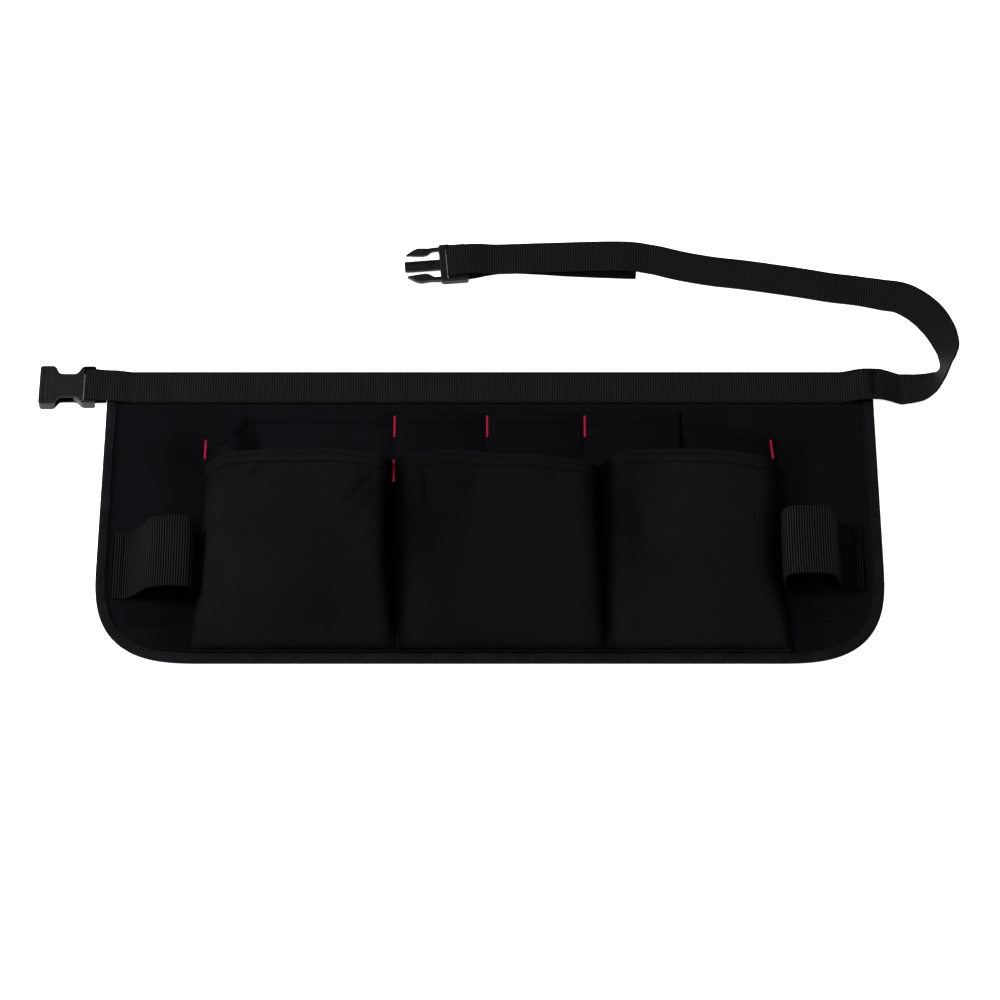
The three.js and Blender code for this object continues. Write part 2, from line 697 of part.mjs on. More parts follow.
// The socket: a flat box open at its mouth, waisted where the prongs show, with a bar for the webbing.
function buckleSocket() {
  const half = buckleWidth / 2;
  const end = socketBar.x + barLength;
  const y = beltCentre - socketDrop;
  const at = (share) => end - (1 - share) * socketLength;
  const side = [
    { along: 0, wide: 0.97 }, { along: 0.04, wide: 1 }, { along: 0.25, wide: 1 },
    { along: 0.38, wide: socketWaist / buckleWidth }, { along: 0.66, wide: socketWaist / buckleWidth },
    { along: 0.76, wide: 0.98 }, { along: 0.94, wide: 0.98 }, { along: 1, wide: 0.95 },
  ];
  const outline = [
    ...side.map((row) => [at(row.along), y - row.wide * half]),
    ...[...side].reverse().map((row) => [at(row.along), y + row.wide * half]),
  ];
  const body = solidOf(slab(shapeOf(outline), 0, buckleThick));
  const depth = socketLength * socketCavity;
  const cavity = block(depth * 2, buckleWidth - 2 * buckleWall, buckleThick - 2 * buckleWall,
    [at(0), y, buckleThick / 2]);
  return geometryFrom(webbingSeat(body.subtract(solidOf(cavity)), socketBar, end, y));
}

// The plug: a frame with its bar, a guide bar in the middle and two prongs with hooked heads.
function bucklePlug() {
  const y = beltCentre + strapRise - plugDrop;
  const half = plugWidth / 2;
  const end = plugBar.x + frameLength;
  const face = plugBar.x - slotWidth - crossBar;
  const middle = (plugBar.low + plugBar.high) / 2;
  const [low, high] = [middle - plugThick / 2, middle + plugThick / 2];
  const outline = [
    [face, y - half], [end - plugChamfer, y - half], [end, y - half + plugChamfer / 3],
    [end, y + half - plugChamfer / 3], [end - plugChamfer, y + half], [face, y + half],
  ];
  // A prong's outline from its outer root round the head to its inner root: back in shares of prongLength,
  // out in shares of half the plug's width.
  const prong = [
    { back: -0.05, out: 0.9 }, { back: 0.35, out: 0.9 }, { back: 0.5, out: 0.96 }, { back: 0.72, out: 0.95 },
    { back: 0.86, out: 0.82 }, { back: 0.97, out: 0.56 }, { back: 0.93, out: 0.48 }, { back: 0.62, out: 0.57 },
    { back: 0.42, out: 0.7 }, { back: -0.05, out: 0.72 },
  ];
  const guide = [
    { back: -0.05, out: 0.22 }, { back: 0.97, out: 0.19 }, { back: 1, out: 0.13 },
    { back: 1, out: -0.13 }, { back: 0.97, out: -0.19 }, { back: -0.05, out: -0.22 },
  ];
  const shaped = (rows, side, inset) => solidOf(slab(
    shapeOf(rows.map((row) => [
      face - row.back * prongLength, y + side * row.out * half - row.back * prongLean])),
    low + inset, high - inset));
  const frame = webbingSeat(solidOf(slab(shapeOf(outline), low, high)), plugBar, end, y, plugDrop * 2);
  const prongs = shaped(prong, 1, prongInset).add(shaped(prong, -1, prongInset));
  return geometryFrom(frame.add(prongs).add(shaped(guide, 1, guideInset)));
}

add('panel', outward(panel()), canvasBlack);
add('edge_binding', edgeBinding(), tapeBlack);
add('waist_belt', waistBelt(), webbingBlack);
add('free_strap', freeStrap(), webbingBlack);
add('upper_pocket', upperPocket(), canvasBlack);
for (const name of ['left', 'middle', 'right']) {
  add(`lower_pocket_${name}`, lowerPocket(name, pocketEdges[name]), canvasBlack);
}
add('hammer_loop_left', hammerLoop('left', -1), webbingBlack);
add('hammer_loop_right', hammerLoop('right', 1), webbingBlack);

const seamTop = upperFoot + pocketCloth;
const valleyTop = upperTopAt(-dividerLeft, lowerTop - tackLength) + gap + pocketCloth + hemExtra;
const upperTackY = upperTop - tackLength / 2;
const bartacks = [
  { name: 'upper_left', x: -dividerLeft, y: upperTackY, foot: seamTop, length: tackLength },
  { name: 'upper_middle', x: -dividerMiddle, y: upperTackY, foot: seamTop, length: tackLength },
  { name: 'upper_right', x: dividerUpperRight, y: upperTackY, foot: seamTop, length: tackLength },
  { name: 'corner_left', x: -seamLeft + sideFlange / 2, y: cornerTackY, foot: seamTop, length: cornerTack },
  { name: 'corner_right', x: seamRight - sideFlange / 2, y: cornerTackY, foot: seamTop, length: cornerTack },
  { name: 'valley', x: -dividerLeft, y: lowerTop - tackLength / 2, foot: valleyTop, length: tackLength },
];
for (const { name, x, y, foot, length } of bartacks) {
  add(`bartack_${name}`, bartack(x, y, foot, length), threadRed);
}
add('buckle_socket', buckleSocket(), buckleBlack);
add('buckle_plug', bucklePlug(), buckleBlack);

export default apron;
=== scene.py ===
# Looks of a carpenter nail apron that lies on its back: canvas pockets, a bound edge, ribbed webbing,
# a side-release buckle and all the stitches. Lengths are in millimetres until a mesh is made.
import math

import bpy
import numpy as np
from mathutils import Matrix, Vector


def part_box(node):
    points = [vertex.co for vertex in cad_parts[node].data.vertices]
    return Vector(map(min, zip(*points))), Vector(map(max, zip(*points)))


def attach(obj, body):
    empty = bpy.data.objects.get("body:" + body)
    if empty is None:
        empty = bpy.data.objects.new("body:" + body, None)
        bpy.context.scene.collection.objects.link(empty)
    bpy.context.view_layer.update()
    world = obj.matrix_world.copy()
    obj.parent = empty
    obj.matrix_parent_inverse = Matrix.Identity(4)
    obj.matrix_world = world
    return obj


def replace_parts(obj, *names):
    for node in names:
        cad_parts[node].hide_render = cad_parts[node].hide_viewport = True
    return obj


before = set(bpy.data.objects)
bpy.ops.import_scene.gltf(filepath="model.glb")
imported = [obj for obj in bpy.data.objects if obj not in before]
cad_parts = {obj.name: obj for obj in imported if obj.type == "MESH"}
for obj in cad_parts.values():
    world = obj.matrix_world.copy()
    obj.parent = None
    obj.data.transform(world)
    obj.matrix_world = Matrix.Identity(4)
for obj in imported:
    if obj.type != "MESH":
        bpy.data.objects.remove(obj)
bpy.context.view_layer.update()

MM = 0.001


def corners(node):
    """The lowest and highest corner of a solid, in millimetres."""
    low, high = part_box(node)
    return np.array(low) / MM, np.array(high) / MM


# Sizes that the frame gives
_, tape_high = corners("edge_binding")
half_width = tape_high[0]
half_depth = tape_high[1]
binding_top = tape_high[2]

# Cloth and webbing
gap = 0.3
panel_cloth = 1.6
pocket_cloth = 1.4
hem_extra = 0.8
hem_depth = 11.0
webbing = 1.6
loop_webbing = 1.8
belt_width = 25.4
rib_pitch = 1.75
rib_depth = 0.16
rib_steps = 4

# Panel and binding
corner_reach = 77.0
corner_power = 2.9
binding_width = 7.0
binding_tape = 1.0
rim_cloth = 1.4
rim_slope = 1.7
rim_low = binding_tape + gap

# Belt and strap
belt_ramp = 10.0
belt_hump = 2.6
strap_rise = 110.0
turn_reach = 54.0
free_run = 302.0
tail_length = 135.0
tail_shift = 4.3
tail_lean = 3.3
strap_arch = 2.4
belt_centre = half_depth - 0.6 - belt_width / 2
belt_flat = panel_cloth + gap + webbing / 2
belt_over = binding_top + gap + webbing / 2
strap_flat = webbing / 2
strap_over = webbing * 1.5 + gap

# Upper pocket wall
upper_depth = 187.0
upper_crown = 6.5
crown_power = 0.6
seam_land = 1.8
pleat_step = 1.6
pleat_width = 5.0
pleat_left = 0.84
pleat_right = 0.66
upper_foot = panel_cloth + gap
upper_hem = 9.0

# Lower pockets
pocket_depth = 149.0
mouth_rise = 11.0
belly_rise = 14.0
belly_share = 0.8
flange = 3.0
seam_flare = 10.0
seam_left = 202.0
seam_right = 200.0
divider_left = 67.5
divider_middle = 2.0
divider_upper_right = 67.0
divider_lower_right = 79.0
shoulder_share = 0.15
foot_share = 0.26
shoulder_power = 2.4
pocket_bottom = -half_depth + binding_width + gap + rim_slope + gap
upper_top = pocket_bottom + upper_depth
lower_top = pocket_bottom + pocket_depth

# Hammer loops
loop_width = 52.0
loop_reach = 53.0
loop_clear = 5.5
# lit paints shade over a whole loop, and flat_shade paints shade on its flat outer end.
LOOPS = {
    "left": {"side": -1, "seam": seam_left, "height": 22.5, "place": 41.5, "tilt": 0.12, "reach": 55.5,
             "lit": 0.8, "flat_shade": 0.1},
    "right": {"side": 1, "seam": seam_right, "height": 26.0, "place": 34.8, "tilt": 0.02, "reach": 56.5,
              "lit": 1.0, "flat_shade": 0.56},
}

# Buckle
buckle_wall = 1.6
bar_length = 5.5
bar_inset = 0.5
bar_thick = 2.4
slot_width = 3.6
slot_spare = 2.2
socket_slot = 3.1
plug_slot = 2.7
plug_spread = 1.3
frame_length = 12.5
plug_drop = 4.6
plug_play = 0.9
plug_width = 29.6
plug_thick = 5.6
cross_bar = 4.0
prong_length = 27.0
plug_turn = 5.0
buckle_width = 31.0
buckle_thick = 9.0
socket_length = 40.0
socket_waist = 17.5
socket_drop = 0.9

# Red bartacks
tack_width = 1.8

# Shares down the lower pockets, with how far the side seams swing out there, in shares of seam_flare
SEAM = {
    "down": [-0.3, 0, 0.2, 0.45, 0.6, 0.7, 0.77, 0.87, 1],
    "left": [0, 0, -0.2, -0.2, -0.15, -0.1, 0, 0.15, 0.25],
    "right": [0, 0, 0.1, -0.35, -0.4, -0.1, 0.25, 0.45, 0.6],
}
# The two valleys between the lower pockets: half widths and drift, in millimetres at shares down
VALLEYS = {
    "left": {"middle": -divider_left, "down": [0, 0.1, 0.3, 0.5, 0.7, 0.85, 0.95, 1],
             "half": [2.2, 3.6, 5.2, 5.2, 3.6, 1.9, 0.8, 0.6],
             "drift": [-0.6, 0, 0.4, 0.8, 1.8, 2.8, 3.2, 3.4]},
    "right": {"middle": divider_lower_right, "down": [0, 0.1, 0.3, 0.5, 0.7, 0.85, 0.95, 1],
              "half": [3.2, 4.4, 4.2, 3.1, 1.9, 1.0, 0.6, 0.6],
              "drift": [-0.4, -0.4, -0.2, 0.2, 0.4, 0.6, 0.6, 0.6]},
}
# How far the stitch rows lie under the mouths: two on a lower pocket, one on the upper wall
MOUTH_ROW = 3.6
HEM_ROW = 10.2
UPPER_ROW = 8.6
# The upper wall's top edge: place in shares of its half width, drop in shares of upper_depth
UPPER_EDGE = {
    "across": [-1, -0.93, -0.85, 0.66, 0.7, 0.85, 1],
    "drop": [0.115, 0.08, 0, 0, 0.035, 0.06, 0.1],
}
# The lower mouths' edges: drop in shares of pocket_depth
MOUTH_EDGE = {
    "across": [0, 0.12, 0.4, 0.7, 1],
    "left": [0.05, 0.012, 0, 0, 0.02],
    "middle": [0.02, 0.01, 0.005, 0.03, 0.055],
    "right": [0.03, 0, 0, 0.005, 0.025],
}
# Dents of the lower pockets in shares of the pocket: place, spread, and depth in shares of mouth_rise
DENTS = {
    "left": [
        {"across": 0.25, "down": 0.08, "wide": 0.07, "long": 0.08, "depth": 0.12},
        {"across": 0.84, "down": 0.34, "wide": 0.06, "long": 0.12, "depth": 0.14},
        {"across": 0.1, "down": 0.72, "wide": 0.06, "long": 0.2, "depth": 0.2},
    ],
    "middle": [
        {"across": 0.14, "down": 0.18, "wide": 0.05, "long": 0.14, "depth": 0.16},
        {"across": 0.36, "down": 0.14, "wide": 0.06, "long": 0.06, "depth": 0.08},
        {"across": 0.9, "down": 0.1, "wide": 0.05, "long": 0.08, "depth": -0.08},
    ],
    "right": [
        {"across": 0.2, "down": 0.42, "wide": 0.14, "long": 0.25, "depth": 0.15},
        {"across": 0.95, "down": 0.55, "wide": 0.08, "long": 0.15, "depth": 0.1},
        {"across": 0.9, "down": 0.08, "wide": 0.05, "long": 0.05, "depth": 0.12},
    ],
}
# Broad hollows that the light misses, painted as shade, in shares of the pocket, with how much of the light
# they lose
SHADES = {
    "left": [
        {"across": 0.62, "down": 0.86, "wide": 0.28, "long": 0.2, "depth": 0.3},
        {"across": 0.04, "down": 0.1, "wide": 0.14, "long": 0.1, "depth": 0.25},
        {"across": 0.88, "down": 0.2, "wide": 0.08, "long": 0.12, "depth": 0.4},
    ],
    "middle": [
        {"across": 0.05, "down": 0.35, "wide": 0.2, "long": 0.4, "depth": 0.5},
        {"across": 0.5, "down": 0.4, "wide": 0.9, "long": 0.9, "depth": 0.22},
        {"across": 0.5, "down": 0.95, "wide": 0.5, "long": 0.08, "depth": 0.15},
    ],
    "right": [
        {"across": 0.06, "down": 0.35, "wide": 0.22, "long": 0.4, "depth": 0.5},
        {"across": 0.3, "down": 0.6, "wide": 0.16, "long": 0.08, "depth": 0.25},
    ],
}
# Soft creases of the lower pockets: both ends in shares of the pocket, width and depth in millimetres
CREASES = {
    "left": [
        {"from": (0.76, 0.3), "to": (0.93, 0.1), "wide": 3.6, "deep": 2.3},
        {"from": (0.84, 0.34), "to": (0.95, 0.2), "wide": 2.6, "deep": 1.3},
        {"from": (0.2, 0.11), "to": (0.36, 0.03), "wide": 2.6, "deep": -1.53},
        {"from": (0.22, 0.15), "to": (0.34, 0.1), "wide": 2.2, "deep": 1.7},
        {"from": (0.24, 0.19), "to": (0.33, 0.15), "wide": 1.8, "deep": 0.9},
        {"from": (0.05, 0.5), "to": (0.2, 0.52), "wide": 4.0, "deep": -0.68},
        {"from": (0.3, 0.95), "to": (0.8, 0.86), "wide": 10.0, "deep": 1.36},
        {"from": (0.0, 0.9), "to": (0.14, 0.78), "wide": 6.0, "deep": -1.36},
    ],
    "middle": [
        {"from": (0.13, 0.08), "to": (0.15, 0.3), "wide": 3.0, "deep": 2.1},
        {"from": (0.4, 0.1), "to": (0.36, 0.22), "wide": 4.5, "deep": 1.19},
        {"from": (0.02, 0.35), "to": (0.1, 0.6), "wide": 4.5, "deep": -0.85},
        {"from": (0.55, 0.95), "to": (0.95, 0.9), "wide": 7.0, "deep": 1.02},
    ],
    "right": [
        {"from": (0.08, 0.16), "to": (0.34, 0.6), "wide": 12.0, "deep": 2.21},
        {"from": (0.1, 0.62), "to": (0.4, 0.7), "wide": 7.0, "deep": 1.19},
        {"from": (0.88, 0.1), "to": (0.96, 0.13), "wide": 1.8, "deep": -1.53},
        {"from": (0.38, 0.965), "to": (0.93, 0.975), "wide": 2.6, "deep": 1.53},
        {"from": (0.7, 0.3), "to": (0.9, 0.8), "wide": 14.0, "deep": -0.85},
    ],
}
# The hammer loops' lines: along in shares of loop_reach from the outer end, rise in shares of the height
LOOP_LINE = {
    "left": {
        "along": [0, 0.1, 0.18, 0.26, 0.34, 0.41, 0.49, 0.6, 0.74, 0.88, 0.965, 0.995, 0.985, 0.955],
        "rise": [0, 0, 0.04, 0.18, 0.42, 0.64, 0.82, 0.94, 1, 0.99, 0.9, 0.62, 0.3, 0.02],
    },
    "right": {
        "along": [0, 0.12, 0.23, 0.29, 0.335, 0.37, 0.42, 0.5, 0.66, 0.84, 0.95, 0.995, 0.985, 0.955],
        "rise": [0, 0, 0.01, 0.14, 0.42, 0.68, 0.88, 0.97, 1, 0.99, 0.9, 0.62, 0.3, 0.02],
    },
}
# The turn of the free strap: out in shares of turn_reach, rise in shares of strap_rise, the plan angle
# from the inner to the outer edge, how far the outer edge is raised, and the middle's height in shares of
# the belt's
STRAP_TURN = {
    "out": [0.005, 0.1, 0.22, 0.34, 0.44, 0.64, 0.79, 0.89, 0.96, 0.99, 0.985, 0.95, 0.88, 0.77, 0.61, 0.44,
            0.21],
    "rise": [0, 0, 0, -0.005, -0.005, -0.002, 0.018, 0.054, 0.119, 0.202, 0.287, 0.375, 0.48, 0.571, 0.647,
             0.698, 0.722],
    "facing": [-90, -90, -89, -88, -88, -87, -86, -80, -66, -48, -30, -17, 4, 27, 46, 69, 82],
    "bank": [0, 0, 0, 0, 3, 11, 26, 48, 62, 53, 39, 26, 13, 9, 8, 6, 4],
    "lift": [1, 0.92, 0.55, 0.2, 0, 0, 0, 0, 0, 0, 0, 0, 0, 0, 0, 0, 0],
}
# The straight run back to the plug: back in shares of free_run from the panel's side
STRAP_BACK = {
    "back": [0.015, 0.088, 0.157, 0.23, 0.3, 0.372, 0.445],
    "rise": [0.755, 0.785, 0.822, 0.857, 0.888, 0.915, 0.957],
    "facing": [83, 81, 79, 79, 81, 79, 73],
}
# The tail under the strap: along in shares of tail_length, drop in shares of tail_shift
STRAP_TAIL = {
    "along": [0.1, 0.14, 0.19, 0.26, 0.36, 0.48, 0.62, 0.8, 1],
    "drop": [0.84, 0.6, 0.2, -0.2, -0.3, -0.1, 0.25, 0.55, 0.8],
}


# Camera, floor and light
def in_scene(name, data):
    """A new object that holds the data, linked to the scene."""
    made = bpy.data.objects.new(name, data)
    bpy.context.scene.collection.objects.link(made)
    return made


def place_camera():
    """A long lens that looks down on the apron from its lower side, as the photograph does."""
    distance, elevation = 2.43, math.radians(60)
    aim = Vector((0.007, 0.0126, 0.0))
    lens = bpy.data.cameras.new("camera")
    lens.lens = 125.0
    lens.sensor_width = 36.0
    camera = in_scene("camera", lens)
    camera.location = aim + distance * Vector((0, -math.cos(elevation), math.sin(elevation)))
    camera.rotation_euler = (math.pi / 2 - elevation, 0, 0)
    bpy.context.scene.camera = camera


def soft_light(name, place, size, power, tint=(1, 1, 1)):
    """A wide studio panel aimed at the middle of the apron."""
    lamp = bpy.data.lights.new(name, "AREA")
    lamp.shape = "DISK"
    lamp.size = size
    lamp.energy = power
    lamp.color = tint
    light = in_scene(name, lamp)
    light.location = place
    light.rotation_euler = (-Vector(place)).to_track_quat("-Z", "Y").to_euler()


def light_studio():
    world = bpy.data.worlds.new("studio")
    world.use_nodes = True
    background = world.node_tree.nodes["Background"]
    background.inputs["Color"].default_value = (1, 1, 1, 1)
    background.inputs["Strength"].default_value = 0.42
    bpy.context.scene.world = world
    bpy.context.scene.view_settings.view_transform = "Standard"
    soft_light("key", (-1.35, 0.2, 1.6), 0.7, 74)
    soft_light("overhead", (0.35, -0.5, 2.0), 1.0, 22)


# Finishes
# The places of a mix node's sockets for colours
MIX_SHARE, MIX_FIRST, MIX_SECOND = 0, 6, 7
MIX_COLOUR = 2


class Number:
    """A value that may vary over a surface. Its operators add the nodes that work it out."""

    def __init__(self, finish, socket):
        self.finish = finish
        self.socket = socket

    def maths(self, operation, *values):
        return self.finish.node("ShaderNodeMath", {"operation": operation}, dict(enumerate(values)))

    def __add__(self, other):
        return self.maths("ADD", self, other)

    def __sub__(self, other):
        return self.maths("SUBTRACT", self, other)

    def __rsub__(self, other):
        return self.maths("SUBTRACT", other, self)

    def __mul__(self, other):
        return self.maths("MULTIPLY", self, other)

    def __truediv__(self, other):
        return self.maths("DIVIDE", self, other)

    def __pow__(self, other):
        return self.maths("POWER", self, other)

    __radd__ = __add__
    __rmul__ = __mul__

    def wave(self):
        return self.maths("SINE", self)

    def size(self):
        return self.maths("ABSOLUTE", self)

    def floor(self):
        return self.maths("FLOOR", self)

    def within(self, low, high):
        """0 below low, 1 above high, and straight between."""
        return self.finish.node("ShaderNodeMapRange", {"clamp": True}, {
            "Value": self, "From Min": low, "From Max": high, "To Min": 0.0, "To Max": 1.0})


class Finish:
    """A procedural material: constants on the shader's sockets, and nodes for what varies."""

    def __init__(self, name, slot, **constants):
        self.slot = slot
        self.material = bpy.data.materials.new(name)
        self.material.use_nodes = True
        self.tree = self.material.node_tree
        self.shader = self.tree.nodes["Principled BSDF"]
        for socket, value in constants.items():
            self.shader.inputs[socket.replace("_", " ")].default_value = value

    def node(self, kind, settings=None, inputs=None, output=0):
        made = self.tree.nodes.new(kind)
        for key, value in (settings or {}).items():
            setattr(made, key, value)
        for key, value in (inputs or {}).items():
            if isinstance(value, Number):
                self.tree.links.new(value.socket, made.inputs[key])
            else:
                made.inputs[key].default_value = value
        return Number(self, made.outputs[output])

    def cloth(self):
        """How far along and across the cloth a point is, in metres."""
        place = self.node("ShaderNodeUVMap", {"uv_map": "cloth"})
        parts = [self.node("ShaderNodeSeparateXYZ", {}, {0: place}, k) for k in (0, 1)]
        return parts

    def speckle(self, scale, detail=2.0, rough=0.5):
        """Noise in the apron's own frame, with scale in grains a metre."""
        place = self.node("ShaderNodeTexCoord", output=3)
        return self.node("ShaderNodeTexNoise", {}, {
            "Vector": place, "Scale": scale, "Detail": detail, "Roughness": rough})

    def blend(self, share, first, second):
        colours = {MIX_SHARE: share, MIX_FIRST: (*first, 1), MIX_SECOND: (*second, 1)}
        return self.node("ShaderNodeMix", {"data_type": "RGBA"}, colours, MIX_COLOUR)

    def paint_shade(self, colour):
        """Paints shade into a colour by the lit attribute: darker where the cloth lies deep in a fold or out
        of the light.
        """
        lit = self.node("ShaderNodeAttribute", {"attribute_name": "lit"}, output=2)
        return self.node("ShaderNodeMix", {"data_type": "RGBA"}, {0: lit, 6: (0, 0, 0, 1), 7: colour}, 2)

    def feed(self, socket, value):
        self.tree.links.new(value.socket, self.shader.inputs[socket])

    def relief(self, height, depth, strength=1.0):
        """Turns a height of 0 to 1 into a bump, depth in metres."""
        bump = self.node("ShaderNodeBump", {}, {"Height": height, "Distance": depth, "Strength": strength})
        self.feed("Normal", bump)


def canvas_finish(name, dark, light):
    """Dense black cotton duck: a plain weave with uneven threads and a dry, faintly dusty face."""
    finish = Finish(name, "canvas", Roughness=0.9, Specular_IOR_Level=0.015)
    along, across = finish.cloth()
    thread = 0.00062
    slub = finish.speckle(900.0, 3.0)
    warp = ((along / thread) * math.tau + slub * 2.0).wave()
    weft = ((across / thread) * math.tau + slub * 2.0).wave()
    weave = (warp * weft + 1.0) * 0.5
    wear = finish.speckle(12.0, 3.0, 0.5)
    grain = finish.speckle(2600.0, 2.0)
    shade = (wear.within(0.3, 0.75) * 0.3 + grain.within(0.3, 0.75) * 0.45 + weave * 0.25)
    # The lit attribute paints shade into the canvas colour.
    finish.feed("Base Color", finish.paint_shade(finish.blend(shade, dark, light)))
    finish.feed("Roughness", 0.82 + grain * 0.16)
    finish.relief(weave * 0.7 + slub * 0.3 + grain * 0.3, 0.00022, 0.8)
    return finish


def tape_finish():
    """The folded tape of the edge: a tight twill with a little more shine than the canvas."""
    finish = Finish("black_tape", "binding_tape", Roughness=0.8, Specular_IOR_Level=0.03)
    along, across = finish.cloth()
    thread = 0.0007
    slub = finish.speckle(800.0, 2.0)
    twill = (((along + across) / thread) * math.tau + slub * 1.5).wave() * 0.5 + 0.5
    wear = finish.speckle(60.0, 3.0)
    shade = twill * 0.4 + wear.within(0.35, 0.7) * 0.6
    finish.feed("Base Color", finish.blend(shade, (0.0018, 0.0018, 0.0022), (0.0052, 0.0050, 0.0058)))
    finish.feed("Roughness", 0.74 + wear * 0.14)
    finish.relief(twill * 0.8 + slub * 0.4, 0.0002, 0.8)
    return finish


def webbing_finish(name, dark, light, groove_shade_power=2.0, **constants):
    """Ribbed webbing: each rib shows a row of short floats, set half a float off from the next rib's.
    The colour darkens into the grooves between the ribs: painted shade.
    """
    finish = Finish(name, "webbing", Roughness=0.7, **constants)
    along, across = finish.cloth()
    rib = along / (rib_pitch * MM)
    floats = 0.0013
    step = rib.floor() * 0.5
    brick = (((across / floats) + step) * math.tau).wave() * 0.5 + 0.5
    round_rib = (rib * math.pi).wave().size()
    slub = finish.speckle(1500.0, 2.0)
    wear = finish.speckle(40.0, 3.0)
    # Painted shade in the rib grooves, narrower and darker as groove_shade_power grows.
    body = round_rib ** groove_shade_power
    shade = body * (0.6 + brick * 0.25 + wear.within(0.35, 0.7) * 0.15)
    # The lit attribute paints further shade into the webbing colour.
    finish.feed("Base Color", finish.paint_shade(finish.blend(shade, dark, light)))
    finish.feed("Roughness", 0.52 + slub * 0.2)
    finish.relief(round_rib * 0.6 + brick * round_rib * 0.5 + slub * 0.2, 0.00025, 0.8)
    return finish


def thread_finish(name, slot, dark, light, **constants):
    """Twisted sewing thread, with its plies wound round each stitch."""
    finish = Finish(name, slot, Roughness=0.55, **constants)
    along, across = finish.cloth()
    plies = ((along * 2200.0 + across * 900.0) * math.tau * 0.5).wave() * 0.5 + 0.5
    grain = finish.speckle(1800.0, 2.0)
    finish.feed("Base Color", finish.blend(plies * 0.6 + grain.within(0.3, 0.7) * 0.4, dark, light))
    finish.relief(plies, 0.00012, 0.7)
    return finish


def plastic_finish():
    """Moulded acetal: nearly black, satin, with a fine spark texture and rubbed places."""
    finish = Finish("black_plastic", "buckle_plastic", Specular_IOR_Level=0.12)
    grain = finish.speckle(3200.0, 2.0)
    rub = finish.speckle(120.0, 3.0, 0.6)
    worn = rub.within(0.35, 0.7)
    finish.feed("Base Color", finish.blend(worn, (0.0016, 0.0016, 0.0017), (0.0026, 0.0026, 0.0028)))
    finish.feed("Roughness", 0.34 + rub * 0.14)
    finish.relief(grain * 0.8 + rub * 0.2, 0.00006, 0.5)
    return finish


def floor_finish():
    finish = Finish("pale_floor", None, Roughness=0.9, Specular_IOR_Level=0.1, Emission_Strength=0.8,
                    Emission_Color=(1, 1, 1, 1))
    mottle = finish.speckle(9.0, 2.0)
    finish.feed("Base Color", finish.blend(mottle, (0.9, 0.9, 0.9), (0.93, 0.93, 0.93)))
    return finish


# The pocket canvas is lighter than the panel's: painted light, for the more light the pockets catch. Its tint
# is more neutral too.
PANEL_CANVAS = canvas_finish("panel_canvas", (0.0010, 0.0010, 0.0014), (0.0032, 0.0031, 0.0041))
POCKET_CANVAS = canvas_finish("pocket_canvas", (0.0016, 0.0016, 0.0018), (0.0048, 0.0048, 0.0053))
TAPE = tape_finish()
WEBBING = webbing_finish(
    "belt_webbing", (0.0010, 0.0010, 0.0012), (0.0082, 0.0081, 0.0088), Specular_IOR_Level=0.02)
# The loops' rib grooves are painted near black: painted shade.
LOOP_WEBBING = webbing_finish(
    "loop_webbing", (0.0001, 0.0001, 0.0001), (0.0136, 0.0132, 0.0150), 4.0, Specular_IOR_Level=0.008)
BLACK_THREAD = thread_finish(
    "black_thread", "binding_tape", (0.0012, 0.0012, 0.0014), (0.0034, 0.0034, 0.0039),
    Specular_IOR_Level=0.03)
RED_THREAD = thread_finish(
    "red_thread", "red_thread", (0.14, 0.0018, 0.014), (0.30, 0.0045, 0.036), Specular_IOR_Level=0.08)
PLASTIC = plastic_finish()


# Making meshes
def unit(vectors):
    return vectors / np.maximum(np.linalg.norm(vectors, axis=-1, keepdims=True), 1e-9)


def make_piece(name, points, faces, finish, cloth=None):
    """A smooth mesh from points in millimetres, riding on the apron."""
    mesh = bpy.data.meshes.new(name)
    mesh.from_pydata((np.asarray(points) * MM).tolist(), [], faces)
    mesh.polygons.foreach_set("use_smooth", np.ones(len(mesh.polygons), bool))
    corner = np.zeros(len(mesh.loops), np.int32)
    mesh.loops.foreach_get("vertex_index", corner)
    place = np.asarray(points)[:, :2] if cloth is None else np.asarray(cloth)
    layer = mesh.uv_layers.new(name="cloth")
    layer.data.foreach_set("uv", (place[corner] * MM).astype(np.float32).ravel())
    mesh.update()
    return dress(in_scene(name, mesh), finish)


def shade(piece, lit):
    """Keeps how open each point of a cloth lies to the light, 1 in the open and 0 deep in a fold: painted
    shade that the finishes multiply into the colour.
    """
    layer = piece.data.attributes.new("lit", "FLOAT", "POINT")
    layer.data.foreach_set("value", np.clip(np.asarray(lit, np.float32).ravel(), 0, 1))


def dress(piece, finish):
    piece.data.materials.clear()
    piece.data.materials.append(finish.material)
    if finish.slot:
        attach(piece, "root")
    return piece


def border(rows, columns):
    """The grid's border, once round, as indices."""
    top = [(0, j) for j in range(columns)]
    right = [(i, columns - 1) for i in range(1, rows)]
    bottom = [(rows - 1, j) for j in range(columns - 2, -1, -1)]
    left = [(i, 0) for i in range(rows - 2, 0, -1)]
    return np.array(top + right + bottom + left)


